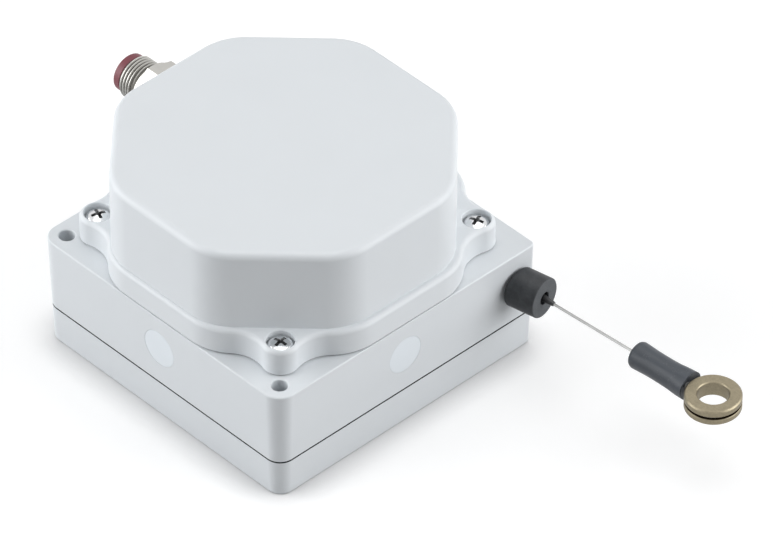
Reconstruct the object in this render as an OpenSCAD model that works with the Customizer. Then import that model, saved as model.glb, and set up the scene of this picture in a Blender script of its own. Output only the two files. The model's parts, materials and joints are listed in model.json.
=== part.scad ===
// Draw wire encoder: a square plastic housing with a wire drum, a spring well below it and an
// octagonal cover over the electronics. Origin at the middle of the base, +Z up. The wire leaves
// the +X face close to the +Y side, and the connector stands on the -X side of the cover.

/* [Housing] */
// Width and depth of the housing at its top
base_w = 90; // [88:0.5:96]
// Height of the housing's top face
base_h = 33.4; // [33:0.2:36]
// Height of the joint between bottom shell and housing
seam_z = 11.1; // [10.6:0.1:12]
// Thickness of the gasket in that joint
seam_gap = 0.5; // [0.3:0.1:0.8]
// How far each side leans in from the top to the bottom
base_draft = 1; // [0:0.1:1.1]
// Rounding of the housing's upper and lower edges
edge_r = 0.4; // [0.2:0.05:0.45]
// Radius of the three corners with mounting holes
corner_r = 5; // [3:0.5:6]
// Radius of the corner beside the wire outlet
wire_corner_r = 1.6; // [1.5:0.1:4]
// Distance of the mounting holes from the housing's sides
mount_inset = 5; // [4.6:0.1:6]
// Diameter of the mounting holes
mount_d = 4.3; // [3.4:0.1:4.5]
// Thickness of the bottom plate and of the web under the drum
floor_t = 2.4; // [2:0.1:2.8]

/* [Cover] */
// Height of the flange above the housing
flange_h = 8; // [7:0.1:8.4]
// Rounding of the flange's upper edge
flange_round = 1.4; // [0.6:0.1:1.6]
// Distance of the ear screws from the housing's sides
ear_inset = 10.8; // [10.4:0.1:11.2]
// Outer radius of the screw ears
ear_r = 4.9; // [4.6:0.1:5.2]
// Step from the flange's side in to the dome's flat sides
dome_step = 1.5; // [1.3:0.1:2.2]
// How far the dome's corner faces cut off its corners
dome_cut = 17.62; // [17.4:0.01:18.4]
// How far the dome's centre stands away from the wire corner along each side
dome_shift = 0.45; // [0:0.05:0.5]
// Radius between two neighbouring walls of the dome
dome_corner_r = 16; // [12:0.5:18]
// Height of the dome above the flange
dome_h = 23.8; // [22:0.1:28]
// How far the dome's walls lean in towards the top
dome_draft = 0; // [0:0.1:0.6]
// Rounding of the dome's upper edge
dome_round = 2; // [1:0.1:2.4]
// Wall thickness of the cover
cover_wall = 2.2; // [1.8:0.1:2.6]
// Thickness of the gasket under the cover
cover_gasket_t = 0.4; // [0.2:0.1:0.6]

/* [Screws] */
// Diameter of the counterbore over each cover screw
ear_bore_d = 7.5; // [7.2:0.1:7.6]
// Depth of that counterbore
ear_bore_depth = 2.7; // [2.6:0.1:4.4]
// Head diameter of the cover screws
head_d = 6.8; // [6:0.1:7]
// Head height of the cover screws
head_h = 2.3; // [1.8:0.1:2.6]
// Shank diameter of the cover screws
shank_d = 3; // [2.6:0.1:3.2]
// Shank length of the cover screws
shank_l = 10.5; // [8:0.5:11]
// Head diameter of the countersunk screws in the bottom
base_head_d = 6; // [5:0.1:6.4]

/* [Drum] */
// Depth of the middle of the wire below the rims of the drum's flanges
wind_depth = 2; // [1.7:0.1:2.5]
// Diameter of the steel wire
wire_d = 0.8; // [0.6:0.05:0.8]
// Height of the wire where it leaves the drum
wire_z = 23; // [22.6:0.1:23.4]
// Angle between the wire and the housing's side, seen from above
wire_yaw = 3.6; // [2:0.1:4.4]
// Full turns of wire stored under the outgoing one
wraps = 9; // [4:1:9]
// Gap between the drum's flanges and the chamber
drum_gap = 0.8; // [0.5:0.1:1.3]
// Thinnest place of the housing's wall beside the drum chamber
chamber_wall = 5.7; // [5.4:0.1:5.9]
// Thickness of each drum flange
drum_flange_t = 1; // [0.8:0.1:1.2]
// Diameter of the drum's shaft and of the bearings' bore
shaft_d = 8; // [7:0.5:8]
// Outer diameter of the ball bearings
bearing_d = 16; // [16:0.5:17]
// Width of the ball bearings
bearing_w = 5; // [4:0.2:5.2]
// Diameter of the bearings' balls
ball_d = 2.38; // [2:0.02:2.4]
// Number of balls in each bearing
balls = 8; // [6:1:9]
// Running clearance between sliding or rolling parts
run_gap = 0.04; // [0.02:0.01:0.08]

/* [Spring] */
// Turns of the return spring
spring_turns = 8; // [5:1:9]
// Thickness of the spring band
spring_t = 0.5; // [0.3:0.05:0.6]
// Width of the spring band
spring_w = 6; // [4:0.2:6.6]
// Radius of the arbor that the spring's inner end holds
arbor_r = 6.5; // [5.5:0.1:8]
// Step from the drum chamber in to the well that holds the spring
well_step = 5.3; // [3.3:0.1:7.3]

/* [Wire end] */
// Diameter of the rubber bumper
bumper_d = 11.2; // [10:0.1:11.6]
// Length of the rubber bumper
bumper_l = 7.2; // [6:0.1:7.6]
// Angle at which the bumper hangs on the wire, seen from above
bumper_yaw = 11; // [9:0.5:12]
// Distance from the housing's side to the free tip of the crimp
crimp_tip = 11.8; // [10.6:0.1:13]
// Distance from the housing's side to the sleeve
sleeve_start = 39.8; // [36:0.2:60]
// Length of the shrink sleeve
sleeve_l = 18.2; // [15:0.2:24]
// Diameter of the shrink sleeve
sleeve_d = 7.5; // [6.8:0.1:7.8]
// Diameter of the brass eyelet
eye_d = 14.85; // [14:0.05:16]
// Diameter of the eyelet's hole
eye_hole_d = 8.2; // [7.6:0.1:8.4]
// Thickness of the eyelet
eye_t = 4.5; // [3.6:0.1:5]

/* [Connector] */
// Height of the connector's axis above the flange
conn_rise = 11.8; // [10.4:0.1:12.2]
// Outer diameter of the connector's thread
thread_d = 12; // [11.5:0.5:12]
// Width across the flats of the connector's hexagon
hex_w = 15; // [14:0.1:16]
// Distance from the cover's wall to the hexagon's outer face
hex_l = 7; // [6:0.1:8]
// Distance from the cover's wall to the end of the thread
thread_end = 14; // [12.4:0.1:16]
// Diameter of the dust cap
cap_d = 10.7; // [10:0.1:11.2]
// Length of the dust cap outside the connector
cap_l = 2.3; // [1.8:0.1:4]
// Number of contact pins
pins = 5; // [3:1:5]

/* [Electronics] */
// Diameter of the circuit board
board_d = 62; // [56:1:68]
// Thickness of the circuit board
board_t = 1.6; // [1:0.1:2]
// Height of the standoffs under the circuit board
standoff_h = 7.8; // [7:0.1:9]
// Diameter of the round plugs in the housing's sides
plug_d = 10.8; // [9:0.1:11]
// Step of the +X side's plug along that side
plug_shift = 0.9; // [0:0.1:1.5]

/* [Hidden] */
$fn = 64;
eps = 0.01;
half = base_w / 2;
mount_pos = half - mount_inset;
ear_pos = half - ear_inset;
dome_w = base_w - 2 * dome_step;
dome_diag = dome_w * sqrt(2) - 2 * dome_cut;
// centre of the dome's corner radius, which is also half the length of its flat sides
dome_centre = dome_w / 2 - dome_corner_r;
dome_flat = (dome_diag / 2 - dome_corner_r) * sqrt(2) - dome_centre;
chamber_r = half - chamber_wall;
drum_flange_r = chamber_r - drum_gap;
wind_r = drum_flange_r - wind_depth;
well_r = chamber_r - well_step;
wire_r = wire_d / 2;
shaft_r = shaft_d / 2;
head_gap = 0.05;
// heights of the joints
shell_top = seam_z - seam_gap / 2;
house_z = seam_z + seam_gap / 2;
cover_z = base_h + cover_gasket_t;
flange_top = base_h + flange_h;
dome_top = flange_top + dome_h;
conn_z = flange_top + conn_rise;
web_top = house_z + floor_t;
// bearing plate and its recess in the housing
plate_t = 2.2;
plate_z = base_h - 0.2 - plate_t;
plate_r = chamber_r + 3.4;
plate_screw_r = chamber_r + 1.5;
plate_screw_d = 2;
// drum
drum_z = web_top + 0.6;
drum_top = plate_z - 0.6;
drum_wall = 2.4;
drum_rim_r = wind_r - wire_r - run_gap;
hub_r = bearing_d / 2 + 2;
low_bearing_z = house_z + 0.4;
high_bearing_z = plate_z + plate_t - 0.6 - bearing_w;
hub_z = low_bearing_z + bearing_w + 0.6;
hub_top = high_bearing_z - 0.6;
shaft_z = floor_t + 0.6;
shaft_top = plate_z + plate_t + 2;
ring_z = high_bearing_z + bearing_w;
ring_t = 0.8;
ball_ring_r = (shaft_r + bearing_d / 2) / 2;
wire_step = wire_d - 0.02;
// spring
spring_z = floor_t + 1;
spring_r0 = arbor_r + spring_t / 2 + 0.1;
spring_r1 = well_r - 3.6;
anchor_r = 1.5;
// wire: tangent point on the drum and the place where it crosses the housing's side
tangent = [-wind_r * sin(wire_yaw), wind_r * cos(wire_yaw)];
wall_run = (half - tangent[0]) / cos(wire_yaw);
function wire_y(x) = tangent[1] + (x - tangent[0]) * tan(wire_yaw);
// crimp, bumper and sleeve, measured along the wire from the tangent point
crimp_end = wall_run + crimp_tip;
crimp_r = 1;
collar_r = 1.35;
collar_t = 1.1;
sleeve_s = wall_run + sleeve_start;
sleeve_e = sleeve_s + sleeve_l;
eye_s = sleeve_e + 0.3 + eye_d / 2;
ferrule_r = 1.6;
ferrule_s = sleeve_s + 2;
ferrule_e = sleeve_e - 1.6;
groove_w = wire_d + 0.2;
groove_r = eye_d / 2 - 1.5;
loop_r = groove_r + wire_r + 0.06;
bumper_wall = 2.2;
bumper_bore_r = 2.05;
bumper_hole_r = 1.45;
bumper_lean = (bumper_d / 2) * sin(bumper_yaw);
side_at_wire = half - base_draft * (base_h - wire_z) / base_h;
bumper_x = side_at_wire + bumper_lean + 0.1;
bumper_front = [bumper_x + bumper_l * cos(bumper_yaw), 0];
bumper_y = wire_y(bumper_front[0]) - bumper_l * sin(bumper_yaw);
// the crimp's collar rests on the bottom of the bumper's bore
crimp_start = (bumper_x + (bumper_wall + 0.05) * cos(bumper_yaw) - tangent[0]) / cos(wire_yaw)
  + (collar_r + wire_r) * sin(bumper_yaw - wire_yaw);
crimp_l = crimp_end - crimp_start;
// outlet bush
bush_r = 3;
bush_l = 7;
bush_flange_r = 4.2;
bush_flange_t = 1;
bush_out = side_at_wire - 0.25;
bush_y = wire_y(bush_out - bush_l / 2);
bush_bore_r = wire_r + bush_l / 2 * tan(wire_yaw) + 0.2;
// connector, measured outwards from the wall of the dome
wall_x = -(dome_w / 2 + dome_shift - dome_draft * (conn_z - flange_top) / dome_h);
wall_in = cover_wall + 0.4;
shank_r = 5;
socket_r = 4.3;
seal_t = 0.8;
seal_r = hex_w / 2 - 0.6;
// depth of the flat seat for the seal in the dome's leaning wall
seat_t = dome_draft * seal_r / dome_h + 0.1;
lock_t = 2.5;
rear_l = 10;
// electronics
board_z = plate_z + plate_t + standoff_h;
board_screw_r = board_d / 2 - 4;
magnet_r = 3;
magnet_h = 2.5;
holder_r = 5;
holder_z = ring_z + ring_t + 0.2;
chip_t = 1.2;

c_body = [0.83, 0.845, 0.855];
c_dark = [0.13, 0.14, 0.15];
c_steel = [0.75, 0.76, 0.77];
c_brass = [0.74, 0.66, 0.47];

// ---- outlines: all run anticlockwise, and inset moves each one in by the same distance ----
function arc(c, r, a0, a1, n) =
  [for (i = [0:n]) let (a = a0 + (a1 - a0) * i / n) [c[0] + r * cos(a), c[1] + r * sin(a)]];
function turned(pts, a) = [for (p = pts) [p[0] * cos(a) - p[1] * sin(a), p[0] * sin(a) + p[1] * cos(a)]];

// square with one radius per corner, from the +X +Y corner on
function square_path(h, radii, inset = 0, n = 8) =
  [for (q = [0:3]) for (p = turned(arc([h - radii[q], h - radii[q]], radii[q] - inset, 0, 90, n), 90 * q)) p];
corner_radii = [wire_corner_r, corner_r, corner_r, corner_r];
function base_path(z, inset = 0) =
  square_path(half, corner_radii, base_draft * (base_h - z) / base_h + inset);

// flange: flush with the housing along the sides, then an S-curve into each round screw ear
bulge_r = 16;
bulge_step = 0.54;
bulge_y = dome_flat + bulge_step;
neck_r = 10;
bulge_c = [half - bulge_r, bulge_y];
ear_c = [ear_pos, ear_pos];
// centre of the neck's arc, which touches the bulge and the ear
function neck_centre() =
  let (d = norm(ear_c - bulge_c), u = (ear_c - bulge_c) / d, r1 = bulge_r + neck_r, r2 = ear_r + neck_r,
       a = (r1 * r1 - r2 * r2 + d * d) / (2 * d), h = sqrt(r1 * r1 - a * a))
  bulge_c + u * a + [u[1], -u[0]] * h;
neck_c = neck_centre();
function angle_of(v) = atan2(v[1], v[0]);
a_bulge = angle_of(neck_c - bulge_c);
a_ear = angle_of(ear_c - neck_c);
function flange_quarter(d) = concat(
  arc(bulge_c, bulge_r - d, 0, a_bulge, 6),
  arc(neck_c, neck_r + d, a_bulge + 180, a_ear, 7),
  arc(ear_c, ear_r - d, a_ear - 180, 270 - a_ear, 12),
  arc([neck_c[1], neck_c[0]], neck_r + d, 90 - a_ear, -90 - a_bulge, 7),
  arc([bulge_c[1], bulge_c[0]], bulge_r - d, 90 - a_bulge, 90, 6));
function flange_path(inset = 0) =
  [for (q = [0:3]) for (p = turned(flange_quarter(inset), 90 * q)) p];

// the dome's outline met by a ray from the centre: its flat side, its rounded corner or its corner face
function dome_reach(a, inset) =
  let (b = ((a % 90) + 90) % 90, t = b > 45 ? 90 - b : b,
       cx = dome_centre, cy = dome_flat,
       along = cx * cos(t) + cy * sin(t), r = dome_corner_r - inset,
       arc_t = along + sqrt(r * r - (cx * cx + cy * cy - along * along)),
       turn = atan2(arc_t * sin(t) - cy, arc_t * cos(t) - cx))
  turn < 0 ? (dome_w / 2 - inset) / cos(t) : turn > 45 ? (dome_diag / 2 - inset) / cos(45 - t) : arc_t;
// that outline with one point for each point of the flange's outline
function dome_path(inset = 0) =
  [for (p = flange_path()) let (a = angle_of(p), d = dome_reach(a, inset)) [d * cos(a) - dome_shift, d * sin(a) - dome_shift]];

// solid through a stack of outlines with equal numbers of points: [[z, outline], ...]
module loft(levels) {
  n = len(levels[0][1]);
  m = len(levels);
  polyhedron(
    points = [for (l = levels) for (p = l[1]) [p[0], p[1], l[0]]],
    faces = concat([[for (i = [0:n - 1]) i]],
      [for (k = [0:m - 2]) for (i = [0:n - 1]) let (a = k * n + i, b = k * n + (i + 1) % n) [a, a + n, b + n, b]],
      [[for (i = [n - 1:-1:0]) (m - 1) * n + i]]));
}

// the four places of a pattern on the corners of a square
module corners(d, which = [0:3]) {
  for (q = which) rotate(45 + 90 * q) translate([d * sqrt(2), 0, 0]) rotate(-45 - 90 * q) children();
}

// places something along the wire, s from the tangent point, with +Z along the wire
module on_wire(s) {
  translate([tangent[0], tangent[1], wire_z]) rotate([0, 0, wire_yaw]) translate([s, 0, 0])
    rotate([0, 90, 0]) children();
}

// places something on the connector's axis, x outwards from the dome's wall, with +Z outwards
module on_connector(x) {
  translate([wall_x - x, 0, conn_z]) rotate([0, -90, 0]) children();
}

module tube(r_out, r_in, h) {
  difference() { cylinder(r = r_out, h = h); translate([0, 0, -1]) cylinder(r = r_in, h = h + 2); }
}

// head of a cross-recess screw, its shank pointing down from z = 0
module pan_screw(d, h, shank, l, slot) {
  difference() {
    union() {
      rotate_extrude() polygon([[0, 0], [d / 2, 0], [d / 2, h * 0.45], [d / 2 - d * 0.07, h * 0.78],
        [d / 2 - d * 0.2, h], [0, h]]);
      translate([0, 0, -l]) cylinder(d = shank, h = l + eps);
    }
    for (a = [0, 90]) rotate(a) translate([-slot / 2, -slot * 0.14, h * 0.45]) cube([slot, slot * 0.28, h]);
  }
}

// countersunk screw, its flat head at z = 0 and its shank pointing up
module flat_screw(d, shank, l) {
  difference() {
    rotate_extrude() polygon([[0, 0], [d / 2, 0], [d / 2, 0.25], [shank / 2, 0.25 + (d - shank) / 2], [shank / 2, l], [0, l]]);
    for (a = [0, 90]) rotate(a) translate([-d * 0.3, -d * 0.07, -1]) cube([d * 0.6, d * 0.14, 1.9]);
  }
}

// ---- housing ----
base_screw_pos = ear_pos - 1.4;
base_screw_l = 17;
base_screw_d = 3;

module mount_holes() corners(mount_pos, [1:3]) translate([0, 0, -1]) cylinder(d = mount_d, h = base_h + 2);

// the housing's block between two heights, with its lower or upper edge rounded
module block(low, high, low_r = 0, high_r = 0) {
  function level(z, r, way) = r == 0 ? [[z, base_path(z)]] :
    [for (a = [0, 30, 60, 90]) [z - way * r * (1 - sin(a)), base_path(z, r * (1 - cos(a)))]];
  low_levels = level(low, low_r, -1);
  loft(concat([for (i = [len(low_levels) - 1:-1:0]) low_levels[i]], level(high, high_r, 1)));
}

module base_shell() {
  color(c_body) difference() {
    block(0, shell_top, low_r = edge_r);
    translate([0, 0, floor_t]) cylinder(r = well_r, h = seam_z);
    mount_holes();
    corners(base_screw_pos) translate([0, 0, -eps]) {
      cylinder(d = base_screw_d + 0.3, h = seam_z);
      cylinder(d = base_head_d + 0.4, h = 0.6);
      translate([0, 0, 0.6]) cylinder(d1 = base_head_d + 0.4, d2 = base_screw_d + 0.3, h = (base_head_d - base_screw_d) / 2);
    }
    translate([spring_r1 + spring_t / 2 + anchor_r + 0.1, 0, floor_t - 1.4]) cylinder(r = anchor_r, h = 2);
  }
}

module base_gasket() {
  color([0.07, 0.08, 0.09]) difference() {
    translate([0, 0, shell_top]) linear_extrude(seam_gap) polygon(base_path(seam_z, 0.45));
    translate([0, 0, shell_top - 1]) cylinder(r = well_r + 2, h = 3);
    mount_holes();
    corners(base_screw_pos) translate([0, 0, shell_top - 1]) cylinder(d = base_screw_d + 0.3, h = 3);
  }
}

module base_screws() {
  color(c_steel) corners(base_screw_pos) translate([0, 0, 0.35])
    flat_screw(base_head_d, base_screw_d, base_screw_l);
}

module side_recess(gap = 0) {
  for (a = [0, -90]) rotate(a) translate([half + 1, a == 0 ? -plug_shift : 0, wire_z]) rotate([0, -90, 0]) {
    cylinder(d = plug_d + gap, h = 2.6);
    cylinder(d = plug_d * 0.55 + gap, h = half + 1 - chamber_r - (gap > 0 ? -1 : 0.4));
  }
}

module main_housing() {
  color(c_body) difference() {
    block(house_z, base_h, high_r = edge_r);
    difference() {
      translate([0, 0, web_top]) cylinder(r = chamber_r, h = base_h);
      cylinder(r = hub_r, h = low_bearing_z + bearing_w);
    }
    translate([0, 0, plate_z]) cylinder(r = plate_r + 0.1, h = base_h);
    translate([0, 0, low_bearing_z]) cylinder(r = bearing_d / 2, h = base_h);
    cylinder(r = ball_ring_r, h = base_h);
    mount_holes();
    corners(ear_pos) translate([0, 0, flange_top - ear_bore_depth - shank_l - 0.6]) cylinder(d = shank_d, h = base_h);
    corners(base_screw_pos) translate([0, 0, 0]) cylinder(d = base_screw_d, h = 0.35 + base_screw_l + 0.6);
    corners(plate_screw_r / sqrt(2)) translate([0, 0, plate_z - 5.4]) cylinder(d = plate_screw_d, h = 8);
    on_wire(8) cylinder(r = 1.5, h = wall_run - 8 - bush_l + 1);
    translate([bush_out - bush_l, bush_y, wire_z]) rotate([0, 90, 0]) cylinder(r = bush_r, h = bush_l + 2);
    translate([bush_out - bush_flange_t, bush_y, wire_z]) rotate([0, 90, 0]) cylinder(r = bush_flange_r, h = 3);
    side_recess(0.02);
  }
}

module side_plugs() {
  color([0.87, 0.89, 0.92]) intersection() {
    block(house_z, base_h);
    side_recess();
  }
}

module outlet_bush() {
  color(c_dark) translate([bush_out - bush_l, bush_y, wire_z]) rotate([0, 90, 0]) difference() {
    union() {
      cylinder(r = bush_r, h = bush_l);
      translate([0, 0, bush_l - bush_flange_t]) cylinder(r = bush_flange_r, h = bush_flange_t);
    }
    translate([0, 0, -1]) cylinder(r = bush_bore_r, h = bush_l + 2);
  }
}

// ---- cover ----
module cover_gasket() {
  color([0.2, 0.21, 0.22]) difference() {
    translate([0, 0, base_h]) linear_extrude(cover_gasket_t) polygon(flange_path(0.35));
    translate([0, 0, base_h - 1]) linear_extrude(3) polygon(dome_path(cover_wall));
    corners(ear_pos) translate([0, 0, base_h - 1]) cylinder(d = shank_d + 0.4, h = 3);
  }
}

// one closed skin: down the inside of the dome, out under the flange, up its rim, in over the
// ledge, up the dome's walls and over their edge
module cover_skin() {
  rim = [for (a = [0, 30, 60, 90])
    [flange_top - flange_round + flange_round * sin(a), flange_path(flange_round * (1 - cos(a)))]];
  edge = [for (a = [0, 22.5, 45, 67.5, 90])
    [dome_top - dome_round + dome_round * sin(a), dome_path(dome_draft + dome_round * (1 - cos(a)))]];
  loft(concat([[dome_top - cover_wall, dome_path(cover_wall + dome_draft)], [cover_z, dome_path(cover_wall)],
    [cover_z, flange_path()]], rim, [[flange_top, dome_path()]], edge));
}

module cover() {
  color(c_body) difference() {
    cover_skin();
    corners(ear_pos) {
      cylinder(d = shank_d + 0.4, h = flange_top);
      translate([0, 0, flange_top - ear_bore_depth]) cylinder(d = ear_bore_d, h = 20);
    }
    on_connector(-wall_in) cylinder(r = shank_r, h = 10);
    on_connector(-seat_t) cylinder(r = seal_r + 0.1, h = 3);
  }
}

module cover_screws() {
  color(c_steel) corners(ear_pos) translate([0, 0, flange_top - ear_bore_depth])
    pan_screw(head_d, head_h, shank_d, shank_l, 3.6);
}

// ---- drum, its shaft and bearings ----
module drum() {
  color([0.32, 0.34, 0.36]) difference() {
    union() {
      translate([0, 0, drum_z]) tube(drum_rim_r, drum_rim_r - drum_wall, drum_top - drum_z);
      for (z = [drum_z, drum_top - drum_flange_t]) translate([0, 0, z])
        tube(drum_flange_r, drum_rim_r - drum_wall, drum_flange_t);
      translate([0, 0, hub_z]) cylinder(r = hub_r, h = hub_top - hub_z);
      translate([0, 0, wire_z - drum_wall / 2]) cylinder(r = drum_rim_r - 1, h = drum_wall);
    }
    translate([0, 0, hub_z - 1]) cylinder(r = shaft_r, h = base_h);
    for (a = [0:60:300]) rotate(a) translate([(hub_r + drum_rim_r - drum_wall) / 2, 0, hub_z])
      cylinder(r = 7, h = base_h);
  }
}

module drum_shaft() {
  color(c_steel) difference() {
    translate([0, 0, shaft_z]) cylinder(r = shaft_r, h = shaft_top - shaft_z);
    translate([0, 0, ring_z]) tube(shaft_r + 1, shaft_r - 0.5, ring_t);
  }
}

module race(r_in, r_out) {
  rotate_extrude() difference() {
    translate([r_in, 0]) square([r_out - r_in, bearing_w]);
    translate([ball_ring_r, bearing_w / 2]) circle(r = ball_d / 2 + run_gap);
  }
}

module at_bearings() for (z = [low_bearing_z, high_bearing_z]) translate([0, 0, z]) children();

module bearing_outer_rings() color(c_steel) at_bearings() race(ball_ring_r + 0.8, bearing_d / 2);
module bearing_inner_rings() color(c_steel) at_bearings() race(shaft_r, ball_ring_r - 0.8);
module bearing_balls() {
  color(c_steel) at_bearings() for (i = [0:balls - 1]) rotate(i * 360 / balls)
    translate([ball_ring_r, 0, bearing_w / 2]) sphere(d = ball_d);
}

module retaining_ring() {
  color(c_dark) translate([0, 0, ring_z]) difference() {
    tube(shaft_r + 1, shaft_r - 0.5, ring_t);
    translate([0, -0.8, -1]) cube([shaft_r + 2, 1.6, 3]);
  }
}

// ---- return spring ----
module spring_arbor() {
  color(c_brass) translate([0, 0, shaft_z + 0.2]) tube(arbor_r, shaft_r, shell_top - shaft_z - 0.8);
}

function spiral(offset) = [for (i = [0:20 * spring_turns]) let (t = i / (20 * spring_turns), a = t * 360 * spring_turns,
  r = spring_r0 + (spring_r1 - spring_r0) * t + offset) [r * cos(a), r * sin(a)]];

module spiral_spring() {
  outer = spiral(spring_t / 2);
  inner = spiral(-spring_t / 2);
  color([0.5, 0.52, 0.55]) translate([0, 0, spring_z]) linear_extrude(spring_w)
    polygon(concat(outer, [for (i = [len(inner) - 1:-1:0]) inner[i]]));
}

module spring_anchor() {
  color(c_steel) translate([spring_r1 + spring_t / 2 + anchor_r + 0.1, 0, floor_t - 1.4])
    cylinder(r = anchor_r, h = spring_z + spring_w - floor_t + 1.4);
}

// ---- bearing plate and electronics ----
module bearing_plate() {
  color([0.45, 0.47, 0.49]) difference() {
    union() {
      translate([0, 0, plate_z]) cylinder(r = plate_r, h = plate_t);
      translate([0, 0, high_bearing_z]) cylinder(r = hub_r, h = plate_z - high_bearing_z + 1);
    }
    translate([0, 0, high_bearing_z - 1]) cylinder(r = bearing_d / 2, h = bearing_w + 1);
    cylinder(r = ball_ring_r, h = base_h + 5);
    corners(plate_screw_r / sqrt(2)) translate([0, 0, plate_z - 1]) {
      cylinder(d = plate_screw_d + 0.2, h = 5);
      translate([0, 0, 1 + plate_t - 0.85]) cylinder(d1 = plate_screw_d + 0.2, d2 = plate_screw_d + 1.5, h = 0.9);
    }
    for (a = [0:90:270]) rotate(a) translate([board_screw_r, 0, plate_z - 1]) cylinder(r = 1.2, h = 5);
  }
}

module plate_screws() {
  color(c_steel) corners(plate_screw_r / sqrt(2)) translate([0, 0, plate_z + plate_t]) mirror([0, 0, 1])
    difference() {
      rotate_extrude() polygon([[0, 0.05], [plate_screw_d / 2 + 0.65, 0.05], [plate_screw_d / 2, 0.85],
        [plate_screw_d / 2, 7], [0, 7]]);
      translate([-0.9, -0.2, -1]) cube([1.8, 0.4, 1.5]);
    }
}

module magnet_holder() {
  color(c_brass) translate([0, 0, holder_z]) difference() {
    cylinder(r = holder_r, h = shaft_top - holder_z + magnet_h + 0.4);
    translate([0, 0, -1]) cylinder(r = shaft_r, h = shaft_top - holder_z + 1);
    translate([0, 0, shaft_top - holder_z + 0.4]) cylinder(r = magnet_r, h = magnet_h + 1);
  }
}

module encoder_magnet() {
  color([0.6, 0.61, 0.63]) translate([0, 0, shaft_top + 0.4]) cylinder(r = magnet_r, h = magnet_h);
}

module standoffs() {
  color(c_brass) for (a = [0:90:270]) rotate(a) translate([board_screw_r, 0, plate_z + plate_t]) difference() {
    union() { cylinder(r = 2.6, h = standoff_h); translate([0, 0, -2]) cylinder(r = 1.2, h = 3); }
    translate([0, 0, standoff_h - 5]) cylinder(r = 1.1, h = 6);
  }
}

module encoder_board() {
  color([0.1, 0.36, 0.2]) translate([0, 0, board_z]) difference() {
    cylinder(d = board_d, h = board_t);
    for (a = [0:90:270]) rotate(a) translate([board_screw_r, 0, -1]) cylinder(r = 1.3, h = board_t + 2);
  }
}

module board_chips() {
  color(c_dark) {
    translate([-3, -2.6, board_z - chip_t]) cube([6, 5.2, chip_t]);
    translate([0, 0, board_z + board_t]) {
      translate([6, -5, 0]) cube([10, 10, 1.4]);
      translate([2, 12, 0]) cube([6, 5, 1.7]);
      translate([-6, 14, 0]) cube([4, 5, 1.7]);
      for (x = [-8, 0, 8]) translate([x, -16, 0]) cylinder(r = 2.5, h = 5.4);
      translate([header_x - 1.5, -6, 0]) cube([3, 12, 4]);
    }
  }
}

module board_screws() {
  color(c_steel) for (a = [0:90:270]) rotate(a) translate([board_screw_r, 0, board_z + board_t])
    pan_screw(4.4, 1.6, 2.2, 5, 2.4);
}

// ---- connector ----
module thread_profile(r, from, to) {
  n = floor(to - from - 0.4);
  polygon(concat([[0, from], [r - 0.55, from]],
    [for (i = [0:n - 1]) for (p = [[r - 0.55, 0.15], [r, 0.45], [r, 0.65], [r - 0.55, 0.95]]) [p[0], from + i + p[1]]],
    [[r - 0.3, to - 0.3], [r - 0.6, to], [0, to]]));
}

module connector_shell() {
  color([0.72, 0.71, 0.68]) difference() {
    union() {
      on_connector(seal_t) cylinder(r = hex_w / 2 - 0.2, h = 2);
      on_connector(seal_t + 1) rotate(-42) cylinder(r = hex_w / 2 / cos(30), h = hex_l - seal_t - 1, $fn = 6);
      on_connector(hex_l - eps) cylinder(r = thread_d / 2 - 0.6, h = 1.6);
      on_connector(0) rotate_extrude() thread_profile(thread_d / 2, hex_l + 1.5, thread_end);
      on_connector(-wall_in - lock_t - 2) cylinder(r = shank_r - 0.02, h = wall_in + lock_t + 3);
    }
    on_connector(-20) cylinder(r = socket_r, h = 60);
  }
}

module connector_seal() {
  color(c_dark) on_connector(0.02 - seat_t) tube(seal_r, shank_r, seal_t + seat_t - 0.04);
}

module connector_lock_nut() {
  color([0.72, 0.71, 0.68]) on_connector(-wall_in - lock_t) difference() {
    cylinder(r = hex_w / 2 / cos(30), h = lock_t, $fn = 6);
    translate([0, 0, -1]) cylinder(r = shank_r, h = lock_t + 2);
  }
}

function pin_at(i) = pins > 4 && i == 0 ? [0, 0] :
  let (n = pins > 4 ? pins - 1 : pins) 2.1 * [cos(360 * i / n + 45), sin(360 * i / n + 45)];

module connector_insert() {
  color(c_dark) on_connector(-wall_in - lock_t - rear_l) difference() {
    union() {
      cylinder(r = socket_r, h = wall_in + lock_t + rear_l + hex_l - 1);
      cylinder(r = shank_r - 0.02, h = rear_l - 2.4);
    }
    for (i = [0:pins - 1]) translate([pin_at(i)[0], pin_at(i)[1], -1]) cylinder(r = 0.5, h = 60);
  }
}

module connector_pins() {
  color([0.85, 0.7, 0.35]) on_connector(-wall_in - lock_t - rear_l - 2)
    for (i = [0:pins - 1]) translate([pin_at(i)[0], pin_at(i)[1], 0])
      cylinder(r = 0.5, h = wall_in + lock_t + rear_l + hex_l + 3.4);
}

module connector_cap() {
  color([0.5, 0.17, 0.2]) difference() {
    union() {
      on_connector(thread_end + 0.02) cylinder(d = cap_d, h = cap_l);
      on_connector(thread_end - 3) cylinder(r = socket_r - 0.05, h = 4);
    }
    on_connector(thread_end - 4) cylinder(r = socket_r - 1, h = 4);
  }
}

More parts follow.
